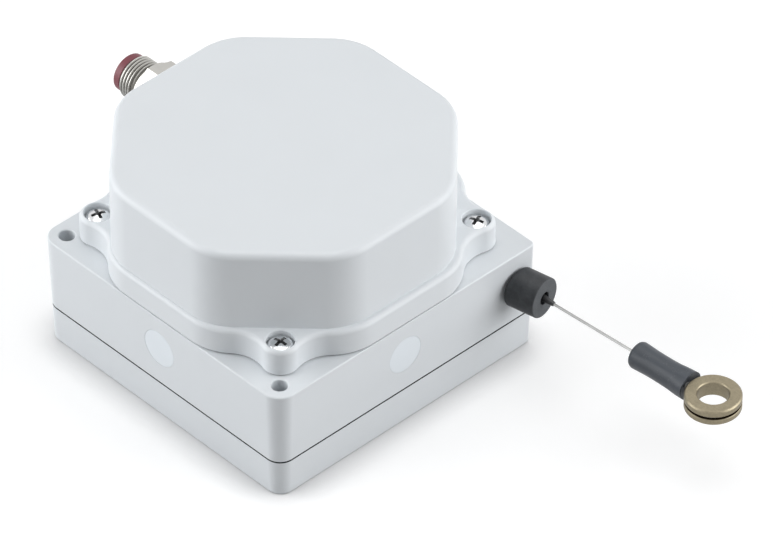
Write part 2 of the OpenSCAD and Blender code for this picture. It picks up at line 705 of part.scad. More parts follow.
// leads that bend down from the connector's pins to the header on the board
lead_x = wall_x + wall_in + lock_t + rear_l + 2;
header_x = lead_x + 9.1;
module connector_leads() {
  bend = 4;
  r = 0.45;
  for (i = [0:pins - 1]) {
    p = pin_at(i);
    z = conn_z + p[0];
    x1 = header_x + 0.5 - bend - (p[0] < 0 ? 1.3 : 0);
    color(i % 2 == 0 ? [0.2, 0.3, 0.6] : [0.55, 0.35, 0.2]) {
      translate([lead_x + 0.02, p[1], z]) rotate([0, 90, 0]) cylinder(r = r, h = x1 - lead_x);
      translate([x1, p[1], z]) sphere(r = r * 1.1);
      translate([x1, p[1], z]) rotate([0, 135, 0]) cylinder(r = r, h = bend * sqrt(2));
      translate([x1 + bend, p[1], z - bend]) sphere(r = r * 1.1);
      translate([x1 + bend, p[1], board_z + board_t + 4.02]) cylinder(r = r, h = z - bend - board_z - board_t - 4.02);
    }
  }
}

// ---- wire ----
module wound_wire() {
  color(c_steel) translate([0, 0, wire_z - 0.05]) rotate_extrude() intersection() {
    union() for (i = [1:wraps]) translate([wind_r, -i * wire_step]) circle(r = wire_r);
    translate([wind_r - wire_r, -wraps * wire_step - wire_r]) square([wire_d, (wraps + 1) * wire_step]);
  }
}

module wire_anchor() {
  color(c_brass) translate([drum_rim_r - drum_wall - 1.5, 0, wire_z - 8 * wire_step]) sphere(r = 1.5);
}

module draw_wire() color([0.72, 0.73, 0.73]) on_wire(0) cylinder(r = wire_r, h = crimp_start);
module wire_tail() {
  color([0.72, 0.73, 0.73]) on_wire(crimp_start) cylinder(r = wire_r, h = ferrule_e - crimp_start);
}

module wire_crimp() {
  color(c_dark) on_wire(crimp_start) difference() {
    rotate_extrude() polygon([[0, 0], [collar_r, 0], [collar_r, collar_t], [crimp_r, collar_t],
      [crimp_r, crimp_l - 4], [wire_r + 0.25, crimp_l], [0, crimp_l]]);
    translate([0, 0, -1]) cylinder(r = wire_r, h = crimp_l + 2);
  }
}

module wire_bumper() {
  color([0.17, 0.18, 0.19]) translate([bumper_x, bumper_y, wire_z]) rotate([0, 0, bumper_yaw]) rotate([0, 90, 0])
    difference() {
      rotate_extrude() polygon([[0, 0], [bumper_d / 2 - 0.3, 0], [bumper_d / 2, 0.3],
        [bumper_d / 2, bumper_l - 0.4], [bumper_d / 2 - 0.4, bumper_l], [0, bumper_l]]);
      translate([0, 0, -1]) cylinder(r = bumper_hole_r, h = bumper_l);
      translate([0, 0, bumper_wall]) cylinder(r = bumper_bore_r, h = bumper_l);
    }
}

module loop_ferrule() {
  color(c_brass) on_wire(ferrule_s) tube(ferrule_r, wire_r, ferrule_e - ferrule_s);
}

module wire_loop() {
  reach = eye_s - ferrule_e;
  a = acos(loop_r / reach);
  leg = sqrt(reach * reach - loop_r * loop_r) - 0.5;
  color([0.72, 0.73, 0.73]) on_wire(eye_s) rotate([0, -90, 0]) {
    rotate([0, 0, a - 180]) rotate_extrude(angle = 360 - 2 * a) translate([loop_r, 0]) circle(r = wire_r);
    for (m = [0, 1]) mirror([0, m, 0]) rotate([0, 0, 180 - a]) translate([loop_r, 0, 0]) {
      rotate([-90, 0, 0]) cylinder(r = wire_r, h = leg);
      sphere(r = wire_r * 1.1);
    }
  }
}

module shrink_sleeve() {
  r = sleeve_d / 2;
  color([0.2, 0.22, 0.25]) on_wire(sleeve_s) rotate_extrude() polygon([[wire_r + 0.3, 0], [r - 0.4, 0], [r, 0.4],
    [r - 0.05, sleeve_l * 0.3], [r - 0.2, sleeve_l * 0.55], [r, sleeve_l * 0.8], [r + 0.25, sleeve_l],
    [r - 0.6, sleeve_l], [ferrule_r, ferrule_e - sleeve_s - 1], [ferrule_r, 1.9], [wire_r + 0.3, 1.9]]);
}

module eyelet() {
  c = 0.4;
  r = eye_d / 2;
  h = eye_t / 2;
  color(c_brass) on_wire(eye_s) rotate([0, -90, 0]) difference() {
    rotate_extrude() polygon([[0, -h], [r - c, -h], [r, c - h], [r, -groove_w / 2], [groove_r, -groove_w / 2],
      [groove_r, groove_w / 2], [r, groove_w / 2], [r, h - c], [r - c, h], [0, h]]);
    translate([0, 0, -h - 1]) cylinder(d = eye_hole_d, h = eye_t + 2);
  }
}

base_shell();
base_gasket();
base_screws();
main_housing();
side_plugs();
outlet_bush();
cover_gasket();
cover();
cover_screws();
drum();
drum_shaft();
bearing_outer_rings();
bearing_inner_rings();
bearing_balls();
spring_arbor();
spiral_spring();
spring_anchor();
bearing_plate();
plate_screws();
retaining_ring();
magnet_holder();
encoder_magnet();
standoffs();
encoder_board();
board_chips();
board_screws();
connector_shell();
connector_seal();
connector_lock_nut();
connector_insert();
connector_pins();
connector_leads();
connector_cap();
wound_wire();
wire_anchor();
draw_wire();
wire_tail();
wire_crimp();
wire_bumper();
loop_ferrule();
wire_loop();
shrink_sleeve();
eyelet();
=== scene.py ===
"""Draw wire encoder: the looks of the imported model, laid out as an add-on and run as a script."""

import json
from math import acos, atan2, cos, degrees, hypot, pi, radians, sin, sqrt, tan

import bmesh
import bpy
from bpy.props import FloatProperty, FloatVectorProperty, IntProperty, PointerProperty
from mathutils import Matrix, Vector


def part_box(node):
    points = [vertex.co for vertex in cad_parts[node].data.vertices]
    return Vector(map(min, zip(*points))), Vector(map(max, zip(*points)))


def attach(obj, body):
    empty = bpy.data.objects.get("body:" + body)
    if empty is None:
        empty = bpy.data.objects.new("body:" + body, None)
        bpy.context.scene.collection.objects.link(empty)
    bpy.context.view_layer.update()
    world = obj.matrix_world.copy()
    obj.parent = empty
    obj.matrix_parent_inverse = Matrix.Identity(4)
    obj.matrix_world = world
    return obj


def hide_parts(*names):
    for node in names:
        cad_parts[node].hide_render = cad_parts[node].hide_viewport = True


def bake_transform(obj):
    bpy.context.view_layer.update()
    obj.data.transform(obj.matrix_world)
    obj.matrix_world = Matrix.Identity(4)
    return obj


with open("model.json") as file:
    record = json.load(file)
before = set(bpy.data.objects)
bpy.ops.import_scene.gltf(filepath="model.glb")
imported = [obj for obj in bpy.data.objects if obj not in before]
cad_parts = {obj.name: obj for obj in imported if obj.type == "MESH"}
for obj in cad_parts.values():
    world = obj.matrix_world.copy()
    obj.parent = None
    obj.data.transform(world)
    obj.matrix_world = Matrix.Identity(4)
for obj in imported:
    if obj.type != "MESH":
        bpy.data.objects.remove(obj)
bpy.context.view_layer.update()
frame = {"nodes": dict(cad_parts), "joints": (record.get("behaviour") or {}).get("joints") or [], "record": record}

bl_info = {
    "name": "Draw wire encoder",
    "version": (1, 0, 0),
    "blender": (4, 5, 0),
    "location": "3D View > Sidebar > Encoder",
    "description": "Builds the visible pieces, finishes and studio of a draw wire encoder",
    "category": "Object",
}

MM = 0.001
SHELL, HOUSE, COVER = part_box("base_shell"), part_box("main_housing"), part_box("cover")
BUMPER, EYELET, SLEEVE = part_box("wire_bumper"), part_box("eyelet"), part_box("shrink_sleeve")
CONNECTOR, CAP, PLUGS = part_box("connector_shell"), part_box("connector_cap"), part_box("side_plugs")
HALF = COVER[1].x
TOP = HOUSE[1].z
PLUG_R = (PLUGS[1].z - PLUGS[0].z) / 2
PLUG_Z = (PLUGS[1].z + PLUGS[0].z) / 2
# how far the housing's sides lean in for each unit of height below its top
LEAN = (HALF - SHELL[1].x) / (TOP - SHELL[1].z)
PULL = Vector(next(j["axis"] for j in frame["joints"] if j["name"] == "wire_draw"))
EYE_CENTRE = (EYELET[0] + EYELET[1]) / 2
EYE_R = (EYELET[1].x - EYELET[0].x) / 2
CONNECTOR_AXIS = Vector((0, 0, (CONNECTOR[0].z + CONNECTOR[1].z) / 2))
# gap that keeps touching faces of two pieces apart
SLIT = 0.02 * MM

# the camera: where it looks, its angles about that point, its distance and its lens
LOOK_AT = Vector((0.01741, 0.01841, 0.020))
VIEW_TURN, VIEW_LIFT, VIEW_DISTANCE = radians(-43.49), radians(40.74), 2.0577
LENS, SENSOR = 372.6, 36
# lamps: name, direction from the object, width, height, watts, tint
LAMPS = (
    ("top light", (-0.05, 0.14, 1), 0.85, 0.85, 3.85, (1, 1, 1)),
    ("left light", (-0.85, -1, 0.5), 0.9, 0.7, 7.5, (0.975, 0.985, 1)),
    ("right light", (1, 0.74, 0.48), 0.8, 0.7, 6.45, (0.985, 0.99, 1)),
)
LAMP_DISTANCE, LAMP_RISE = 0.9, 0.03
FLOOR_HALF, FLOOR_Z = 4, -0.05 * MM


# ---- sizes and colours that a user may change ----
def length(name, words, value, low=0.0, high=1.0):
    return FloatProperty(name=name, description=words, default=value * MM, min=low, max=high,
                         unit="LENGTH", precision=5)


def angle(name, words, value):
    return FloatProperty(name=name, description=words, default=radians(value), unit="ROTATION")


def colour(name, words, value):
    return FloatVectorProperty(name=name, description=words, default=value, subtype="COLOR",
                               size=3, min=0, max=1)


def share(name, words, value):
    return FloatProperty(name=name, description=words, default=value, min=0, max=1, subtype="FACTOR")


class HousingSizes(bpy.types.PropertyGroup):
    corner: length("Corner radius", "Radius of the three corners with mounting holes", 5)
    wire_corner: length("Wire corner radius", "Radius of the corner beside the wire outlet", 1.6)
    edge: length("Edge rounding", "Rounding of the upper and lower edges", 0.45)
    seam_edge: length("Seam rounding", "Rounding of the edges along the gasket", 0.04)
    gasket: length("Gasket depth", "How far the gasket lies behind the housing's sides", 0.03)
    hole: length("Hole diameter", "Diameter of the mounting holes", 4.3)
    hole_place: length("Hole distance", "Distance of the mounting holes from the centre", 40)
    web: length("Web thickness", "Thickness of the web between spring and drum", 2.4)
    chamber: length("Chamber radius", "Radius of the drum chamber", 39.3)
    well: length("Well radius", "Radius of the spring well", 34)
    screw_place: length("Bottom screw distance", "Distance of the bottom screws from the centre", 32.8)
    screw_hole: length("Screw hole diameter", "Diameter of the bottom screws' holes", 3.3)
    countersink: length("Countersink diameter", "Diameter of the bottom screws' countersinks", 6.4)


class CoverSizes(bpy.types.PropertyGroup):
    flange: length("Flange height", "Height of the flange above the housing", 8)
    rim: length("Rim rounding", "Rounding of the flange's upper edge", 1.4)
    ear_place: length("Ear distance", "Distance of the ear screws from the centre", 34.2)
    ear: length("Ear radius", "Outer radius of the screw ears", 4.9)
    bore: length("Counterbore diameter", "Diameter of the counterbore in each ear", 7.5)
    bore_depth: length("Counterbore depth", "Depth of the counterbore in each ear", 2.7)
    bulge: length("Bulge radius", "Radius where the flange turns in from the side", 16)
    bulge_place: length("Bulge start", "Distance from the middle where the flange turns in", 12.5)
    neck: length("Neck radius", "Radius of the hollow beside each ear", 10)
    width: length("Dome width", "Width of the dome across its flat sides", 87)
    diagonal: length("Dome diagonal", "Distance across the dome's corner faces", 87.8)
    shift: length("Dome shift", "Distance of the dome's centre from the housing's", 0.45)
    dome_corner: length("Dome corner radius", "Radius between two walls of the dome", 16)
    draft: length("Dome draft", "How far the dome's walls lean in", 0)
    dome_edge: length("Dome edge rounding", "Rounding of the dome's upper edge", 2.0)
    wall: length("Wall", "Wall thickness of the cover", 2.2)


class ScrewSizes(bpy.types.PropertyGroup):
    head: length("Head diameter", "Diameter of the cover screws' heads", 6.8)
    head_height: length("Head height", "Height of the cover screws' heads", 2.3)
    shank: length("Shank diameter", "Diameter of the cover screws' threads", 3)
    recess: length("Recess width", "Width of the cross recess", 4.0)


class WireSizes(bpy.types.PropertyGroup):
    wire: length("Wire diameter", "Diameter of the stranded wire", 0.8)
    lay: length("Lay", "Length in which a strand goes once round the wire", 5.2)
    strands: IntProperty(name="Strands", description="Outer strands of the wire", default=6, min=3, max=9)
    crimp: length("Crimp diameter", "Diameter of the crimp in the bumper", 2)
    collar: length("Collar diameter", "Diameter of the crimp's stop collar", 2.7)
    sleeve: length("Sleeve diameter", "Diameter of the shrink sleeve", 7.5)
    sleeve_length: length("Sleeve length", "Length of the shrink sleeve", 18.2)
    waist: length("Waist", "How far the sleeve draws in at its middle", 0.24)
    groove: length("Groove depth", "Depth of the eyelet's groove", 1.5)
    groove_width: length("Groove width", "Width of the eyelet's groove", 0.84)
    eye_hole: length("Eyelet hole", "Diameter of the eyelet's hole", 8.2)


class BumperSizes(bpy.types.PropertyGroup):
    lean: angle("Lean", "Angle of the bumper on the wire, seen from above", 11)
    diameter: length("Diameter", "Outer diameter of the bumper", 11.2)
    length: length("Length", "Length of the bumper", 7.2)
    reach: length("Reach", "How far the front stands out beyond that length", 0.6)
    bore: length("Bore diameter", "Diameter of the front bore", 3.5)
    hole: length("Hole diameter", "Diameter of the hole in the bumper's back", 2.9)
    back: length("Back thickness", "Thickness of the bumper's back", 2.2)


class ConnectorSizes(bpy.types.PropertyGroup):
    thread: length("Thread diameter", "Outer diameter of the thread", 12)
    pitch: length("Thread pitch", "Distance from one thread ridge to the next", 1)
    across: length("Across flats", "Width of the hexagon across its flats", 14.7)
    hex: length("Hexagon end", "Distance from the wall to the hexagon's outer face", 7)
    socket: length("Socket diameter", "Inner diameter of the connector", 8.6)
    seal: length("Seal thickness", "Thickness of the seal under the hexagon", 0.8)


class Finishes(bpy.types.PropertyGroup):
    housing: colour("Housing", "Light grey moulded plastic", (0.735, 0.765, 0.788))
    plug: colour("Plugs", "Round plugs in the sides", (0.81, 0.86, 0.90))
    gasket: colour("Gasket", "Black gasket in the seam", (0.004, 0.004, 0.005))
    rubber: colour("Rubber", "Bumper", (0.0115, 0.0140, 0.0170))
    sleeve: colour("Sleeve", "Shrink sleeve", (0.042, 0.050, 0.062))
    brass: colour("Brass", "Eyelet", (0.25, 0.218, 0.152))
    steel: colour("Steel", "Zinc-plated screws", (0.70, 0.71, 0.72))
    wire: colour("Wire", "Stranded steel wire", (0.455, 0.455, 0.445))
    nickel: colour("Nickel", "Connector", (0.50, 0.49, 0.465))
    cap: colour("Cap", "Dust cap", (0.165, 0.035, 0.048))
    grain: share("Grain", "Depth of the moulded grain", 0.35)


class EncoderSettings(bpy.types.PropertyGroup):
    housing: PointerProperty(type=HousingSizes)
    cover: PointerProperty(type=CoverSizes)
    screws: PointerProperty(type=ScrewSizes)
    wire: PointerProperty(type=WireSizes)
    bumper: PointerProperty(type=BumperSizes)
    connector: PointerProperty(type=ConnectorSizes)
    finishes: PointerProperty(type=Finishes)


def settings():
    return bpy.context.scene.encoder


# ---- shader maths ----
def operator(name, reflected=False):
    """A method for one of Python's operators, which adds its Math node."""

    def method(self, other):
        return self.shade.maths(name, *((other, self) if reflected else (self, other)))

    return method


class Value:
    """A shader socket that takes Python's operators."""

    def __init__(self, shade, socket):
        self.shade = shade
        self.socket = socket

    __add__, __radd__ = operator("ADD"), operator("ADD", True)
    __sub__, __rsub__ = operator("SUBTRACT"), operator("SUBTRACT", True)
    __mul__, __rmul__ = operator("MULTIPLY"), operator("MULTIPLY", True)


class Shade:
    """One material: its main shader, and the nodes that vary it."""

    def __init__(self, name, base, roughness, metallic=0.0, **sockets):
        self.material = bpy.data.materials.new(name)
        self.material.use_nodes = True
        self.nodes = self.material.node_tree.nodes
        self.links = self.material.node_tree.links
        self.main = self.nodes["Principled BSDF"]
        self.base = (*base, 1)
        self.set("Base Color", self.base)
        self.set("Roughness", roughness)
        self.set("Metallic", metallic)
        for key, value in sockets.items():
            self.set(key.replace("_", " "), value)

    def feed(self, socket, value):
        """Gives a socket a link or a constant."""
        if isinstance(value, Value):
            self.links.new(value.socket, socket)
        else:
            socket.default_value = value

    def set(self, name, value):
        self.feed(self.main.inputs[name], value)

    def node(self, kind, inputs=(), output=0, stops=None, **options):
        made = self.nodes.new("ShaderNode" + kind)
        for key, value in options.items():
            setattr(made, key, value)
        if stops:
            ramp = made.color_ramp
            for place, tone in stops[1:-1]:
                ramp.elements.new(place).color = (tone, tone, tone, 1)
            for i in (0, -1):
                place, tone = stops[i]
                ramp.elements[i].position = place
                ramp.elements[i].color = (tone, tone, tone, 1)
        for key, value in dict(inputs).items():
            self.feed(made.inputs[key], value)
        return Value(self, made.outputs[output])

    def maths(self, operation, a, b=0.0):
        return self.node("Math", {0: a, 1: b}, operation=operation)

    def place(self, scale=(1, 1, 1)):
        """Object coordinates in millimetres, stretched by scale."""
        where = self.node("TexCoord", output=3)
        return self.node("VectorMath", {0: where, 1: tuple(s / MM for s in scale)}, operation="MULTIPLY")

    def noise(self, size, detail=2.0, scale=(1, 1, 1), roughness=0.5):
        """Noise from 0 to 1 whose features are about size millimetres across."""
        return self.node("TexNoise", {"Vector": self.place(scale), "Scale": 1 / size, "Detail": detail,
                                      "Roughness": roughness})

    def ramp(self, value, *stops):
        return self.node("ValToRGB", {"Fac": value}, stops=stops)

    def mix(self, amount, a, b):
        """Colour a where amount is 0, colour b where it is 1."""
        return self.node("Mix", {0: amount, 6: a, 7: b}, output=2, data_type="RGBA")

    def tint(self, factor):
        """The base colour made lighter or darker by a factor that varies."""
        dark = tuple(c * 0.5 for c in self.base[:3]) + (1,)
        light = tuple(c * 1.5 for c in self.base[:3]) + (1,)
        return self.mix(factor - 0.5, dark, light)

    def between(self, value, low, high):
        """0 where the value is below low, 1 where it is above high."""
        return self.node("MapRange", {"Value": value, "From Min": low, "From Max": high})

    def off(self, point, weights=(1, 1, 1), mirrored=False):
        """Distance in millimetres from a point; a weight of 0 leaves an axis out."""
        where = self.node("TexCoord", output=3)
        if mirrored:
            where = self.node("VectorMath", {0: where}, operation="ABSOLUTE")
        away = self.node("VectorMath", {0: where, 1: tuple(point)}, operation="SUBTRACT")
        away = self.node("VectorMath", {0: away, 1: tuple(w / MM for w in weights)}, operation="MULTIPLY")
        return self.node("VectorMath", {0: away}, output=1, operation="LENGTH")

    def facing(self, direction):
        """1 where the surface faces a direction, 0 where it is square to it."""
        return self.node("VectorMath", {0: self.node("NewGeometry", output=1), 1: tuple(direction)},
                         output=1, operation="DOT_PRODUCT")

    def bump(self, height, distance, strength):
        """Relief whose height of 1 stands distance millimetres high."""
        self.set("Normal", self.node("Bump", {"Height": height, "Distance": distance * MM,
                                              "Strength": strength}))


def moulded(name, base, roughness=0.42, grain=0.35, coat=0.0):
    """Moulded plastic: faint flow marks, fine grain and uneven gloss."""
    s = Shade(name, base, roughness, IOR=1.5, Coat_Weight=coat)
    cloud = s.noise(14, 3)
    fine = s.noise(0.35, 3)
    s.set("Base Color", s.tint(0.985 + cloud * 0.03))
    s.set("Roughness", roughness - 0.05 + cloud * 0.05 + fine * 0.05)
    s.bump(s.noise(0.22, 2) + s.noise(1.4, 2) * 0.8, 0.012, grain)
    return s.material


def worked(name, base, roughness=0.3, scale=(1, 1, 12), scratch=0.3, tarnish=0.12, recess_shade=None,
           shade_colour=(0.05, 0.05, 0.05)):
    """Turned or drawn metal: fine tool marks along one axis, a little tarnish, and painted shade in its recesses.
    """
    s = Shade(name, base, roughness, 1.0)
    marks = s.noise(0.9, 3, scale)
    spots = s.noise(3.5, 4)
    clean = s.tint(1 - tarnish / 2 + spots * tarnish * 1.2 - marks * tarnish * 0.2)
    rough = roughness - 0.06 + marks * 0.1 + spots * 0.06
    # painted shade: a dark colour laid into the recesses that the mask picks out
    if recess_shade:
        painted_shade = recess_shade(s)
        clean = s.mix(painted_shade, clean, (*shade_colour, 1))
        rough = rough + painted_shade * 0.3
    s.set("Base Color", clean)
    s.set("Roughness", rough)
    s.bump(marks, 0.01, scratch)
    return s.material


def screw_recess_shade(s):
    """1 inside the cross recesses of the four cover screws, where painted shade darkens them."""
    c, w = settings().cover, settings().screws
    seat = (TOP + c.flange - c.bore_depth) / MM
    h, r = w.head_height / MM, w.recess / 2 / MM
    side = s.off((c.ear_place, c.ear_place, 0), (1, 1, 0), mirrored=True)
    height = s.off((0, 0, 0), (0, 0, 1))
    below = 1 - s.between(height, seat + h * 0.66, seat + h * 0.82)
    inside = 1 - s.between(side, r + 0.15, r + 0.3)
    return below * inside * (0.55 + s.noise(0.8, 2) * 0.5)


def thread_root_shade(s):
    """1 in the grooves of the connector's thread, where painted shade darkens them."""
    crest = settings().connector.thread / 2 / MM
    out = s.off(CONNECTOR_AXIS, (0, 1, 1))
    deeper = 1 - s.between(out, crest - 0.5, crest - 0.12)
    return s.between(out, crest - 1.0, crest - 0.8) * deeper * 0.85


def eyelet_groove_shade(s):
    """1 in the groove round the eyelet, where painted shade darkens it."""
    w = settings().wire
    rim, half = EYE_R / MM, w.groove_width / 2 / MM
    out = s.off(EYE_CENTRE, (1, 1, 0))
    up = s.off(EYE_CENTRE, (0, 0, 1))
    deeper = 1 - s.between(out, rim - 0.35, rim - 0.1)
    level = 1 - s.between(up, half, half + 0.06)
    return deeper * s.between(out, rim - 2, rim - 1.9) * level


def turned_brass(name, base):
    """Eyelet: blasted brass with turning rings on its faces and painted shade in its groove."""
    s = Shade(name, base, 0.4, 1.0)
    grain = s.noise(0.5, 3, roughness=0.75)
    radius = s.node("CombineXYZ", {0: s.off(EYE_CENTRE, (1, 1, 0))})
    rings = s.node("TexNoise", {"Vector": radius, "Scale": 4.0, "Detail": 2.0})
    spots = s.noise(2.6, 3)
    painted_shade = eyelet_groove_shade(s)
    # painted shade: the groove is turned almost black
    s.set("Base Color", s.mix(painted_shade, s.tint(0.5 + grain * 0.74 + spots * 0.26), (0.02, 0.013, 0.007, 1)))
    s.set("Roughness", 0.34 + grain * 0.12 + rings * 0.06 + painted_shade * 0.3)
    s.bump(grain + rings * 0.3, 0.05, 0.6)
    return s.material


def rubbery(name, base, roughness=0.62, chalk=(0.16, 0.165, 0.17), gloss=0.5):
    """Black rubber with chalky rubbed patches and a fine pitted skin."""
    s = Shade(name, base, roughness, IOR=1.45, Specular_IOR_Level=gloss)
    rub = s.ramp(s.noise(2.2, 4, roughness=0.6), (0.42, 0), (0.75, 1))
    pits = s.noise(0.28, 3)
    s.set("Base Color", s.mix(rub * 0.4 + pits * 0.1, s.base, (*chalk, 1)))
    s.set("Roughness", roughness - 0.08 + rub * 0.16)
    s.bump(pits + rub * 0.6, 0.05, 0.35)
    return s.material


def bumper_rubber(name, base):
    """Bumper: dark sides with a faint sheen, and a front face painted lighter, partly chalky from its mould and
    partly painted light.
    """
    s = Shade(name, base, 0.5, IOR=1.45)
    lean = settings().bumper.lean
    # the front face is painted lighter than the sides, partly chalk from its mould and partly painted light
    front = s.between(s.facing((cos(lean), sin(lean), 0)), 0.6, 0.95)
    rub = s.ramp(s.noise(2.4, 4, roughness=0.6), (0.4, 0), (0.72, 1))
    pits = s.noise(0.3, 3, roughness=0.7)
    chalk_and_painted_light = s.mix(pits, (0.034, 0.038, 0.043, 1), (0.12, 0.128, 0.136, 1))
    sides = s.mix(rub * 0.16 + pits * 0.06, s.base, (0.16, 0.165, 0.175, 1))
    s.set("Base Color", s.mix(front, sides, chalk_and_painted_light))
    s.set("Roughness", 0.46 + rub * 0.1 + front * 0.22)
    s.bump(pits + rub * 0.5, 0.06, 0.4)
    return s.material


def shrunk(name, base):
    """Shrink tube: satin skin with length-wise ripples and pale rubbed specks."""
    s = Shade(name, base, 0.4, IOR=1.5)
    ripple = s.noise(1.6, 3, (0.25, 1.2, 1.2))
    fine = s.noise(0.25, 2)
    patches = s.ramp(s.noise(2.8, 3), (0.42, 0), (0.62, 1))
    specks = s.ramp(s.noise(0.4, 2, roughness=0.7), (0.56, 0), (0.66, 1)) * patches
    s.set("Base Color", s.mix(specks * 0.3, s.tint(0.8 + ripple * 0.4), (0.2, 0.205, 0.21, 1)))
    s.set("Roughness", 0.34 + ripple * 0.14 + fine * 0.06 + specks * 0.2)
    s.bump(ripple + fine * 0.3, 0.06, 0.6)
    return s.material


FINISHES = {
    "housing": lambda f: moulded("Housing plastic", f.housing, 0.42, f.grain),
    "plug": lambda f: moulded("Plug plastic", f.plug, 0.36, f.grain),
    "gasket": lambda f: rubbery("Gasket rubber", f.gasket, 0.85, (0.01, 0.01, 0.01), 0.05),
    "cover_gasket": lambda f: rubbery("Cover gasket", (0.42, 0.43, 0.44), 0.6, (0.5, 0.51, 0.52)),
    # zinc-plated steel with painted shade in the screws' cross recesses
    "screw_steel": lambda f: worked("Zinc-plated steel", f.steel, 0.15, (1, 1, 3), 0.2, 0.08, screw_recess_shade),
    "black_plastic": lambda f: moulded("Black plastic", (0.02, 0.02, 0.022), 0.45, 0.5),
    "drum_plastic": lambda f: moulded("Drum plastic", (0.06, 0.07, 0.08), 0.4, 0.4),
    "bearing_steel": lambda f: worked("Ground steel", (0.66, 0.67, 0.68), 0.18, (1, 1, 8)),
    "spring_steel": lambda f: worked("Blued spring steel", (0.18, 0.20, 0.24), 0.3, (1, 1, 8)),
    "plate_aluminium": lambda f: worked("Milled aluminium", (0.72, 0.73, 0.74), 0.35, (1, 10, 1)),
    "magnet": lambda f: worked("Plated magnet", (0.5, 0.51, 0.53), 0.22, (1, 1, 1), 0.1),
    "board": lambda f: moulded("Circuit board", (0.02, 0.11, 0.05), 0.3, 0.3, 0.6),
    # nickel with painted shade in the thread's grooves
    "nickel": lambda f: worked("Nickel plate", f.nickel, 0.42, (1, 6, 6), 0.25, 0.16, thread_root_shade,
                               (0.1, 0.095, 0.085)),
    "gold_pin": lambda f: worked("Gold-plated pins", (0.80, 0.60, 0.24), 0.22, (6, 1, 1), 0.15),
    "lead_jacket": lambda f: moulded("Lead insulation", (0.05, 0.09, 0.24), 0.5, 0.3),
    "cap_red": lambda f: moulded("Cap plastic", f.cap, 0.45, 0.5),
    "wire_steel": lambda f: worked("Wire steel", f.wire, 0.34, (1, 1, 1), 0.2, 0.2),
    "brass": lambda f: worked("Turned brass", (0.70, 0.54, 0.26), 0.3, (1, 1, 10)),
    "eyelet_brass": lambda f: turned_brass("Eyelet brass", f.brass),
    "crimp_black": lambda f: moulded("Crimp plastic", (0.03, 0.031, 0.033), 0.4, 0.6),
    "rubber": lambda f: bumper_rubber("Bumper rubber", f.rubber),
    "sleeve": lambda f: shrunk("Sleeve tube", f.sleeve),
}
made_finishes = {}


def finish(slot):
    """The material of one of the record's slots, made once."""
    if slot not in made_finishes:
        made_finishes[slot] = FINISHES[slot](settings().finishes)
    return made_finishes[slot]


# ---- outlines, anticlockwise, with an inset that moves each one in by the same distance ----
def arc(centre, r, start, end, n):
    """Points on an arc, angles in degrees."""
    turns = (radians(start + (end - start) * i / n) for i in range(n + 1))
    return [(centre[0] + r * cos(t), centre[1] + r * sin(t)) for t in turns]


def four_times(quarter):
    """A quarter of an outline, repeated round the centre."""
    for _ in range(4):
        yield from quarter
        quarter = [(-y, x) for x, y in quarter]


def housing_outline(inset, rounding=0.0, under_flange=1.0, n=10):
    """The housing's outline; the rounding is less where the flange stands flush with the side."""
    h = settings().housing
    flush = settings().cover.bulge_place
    stops = (-flush * 1.6, -flush, flush, flush * 1.6)
    points = []
    for q, r in enumerate((h.wire_corner, h.corner, h.corner, h.corner)):
        c = HALF - r
        corner = arc((c, c), r - inset - rounding, 0, 90, n)
        edges = [rounding * (under_flange if abs(y) <= flush else 1) for y in stops]
        side = [(y, HALF - inset - edge) for y, edge in zip(stops, edges)][::-1]
        for x, y in corner + side:
            for _ in range(q):
                x, y = -y, x
            points.append((x, y))
    return points


def leaning(z, rounding=0.0, under_flange=1.0):
    """The housing's outline at a height."""
    return housing_outline((TOP - z) * LEAN, rounding, under_flange)


def flange_outline(inset=0.0):
    """The flange's outline: bulges along the sides, ears at the corners and hollow necks between."""
    c = settings().cover
    bulge_at = (HALF - c.bulge, c.bulge_place)
    ear_at = (c.ear_place, c.ear_place)
    dx, dy = ear_at[0] - bulge_at[0], ear_at[1] - bulge_at[1]
    d = hypot(dx, dy)
    r1, r2 = c.bulge + c.neck, c.ear + c.neck
    along = (r1 * r1 - r2 * r2 + d * d) / (2 * d)
    off = sqrt(r1 * r1 - along * along)
    neck_at = (bulge_at[0] + (dx * along + dy * off) / d, bulge_at[1] + (dy * along - dx * off) / d)
    a_bulge = degrees(atan2(neck_at[1] - bulge_at[1], neck_at[0] - bulge_at[0]))
    a_ear = degrees(atan2(ear_at[1] - neck_at[1], ear_at[0] - neck_at[0]))
    half = (arc(bulge_at, c.bulge - inset, 0, a_bulge, 14)
            + arc(neck_at, c.neck + inset, a_bulge + 180, a_ear, 16)[1:]
            + arc(ear_at, c.ear - inset, a_ear - 180, 45, 16)[1:])
    quarter = half + [(y, x) for x, y in half[-2::-1]]
    return list(four_times(quarter))


def dome_reach(turn, inset):
    """Distance from the centre to the dome's outline along a direction."""
    c = settings().cover
    t = turn % (pi / 2)
    t = min(t, pi / 2 - t)
    cx = c.width / 2 - c.dome_corner
    cy = (c.diagonal / 2 - c.dome_corner) * sqrt(2) - cx
    along = cx * cos(t) + cy * sin(t)
    r = c.dome_corner - inset
    reach = along + sqrt(max(0, r * r - (cx * cx + cy * cy - along * along)))
    at = atan2(reach * sin(t) - cy, reach * cos(t) - cx)
    if at < 0:
        return (c.width / 2 - inset) / cos(t)
    if at > pi / 4:
        return (c.diagonal / 2 - inset) / cos(pi / 4 - t)
    return reach


def dome_outline(inset=0.0):
    """The dome's outline with one point for each point of the flange's."""
    shift = settings().cover.shift
    points = []
    for x, y in flange_outline():
        t = atan2(y, x)
        reach = dome_reach(t, inset)
        points.append((reach * cos(t) - shift, reach * sin(t) - shift))
    return points


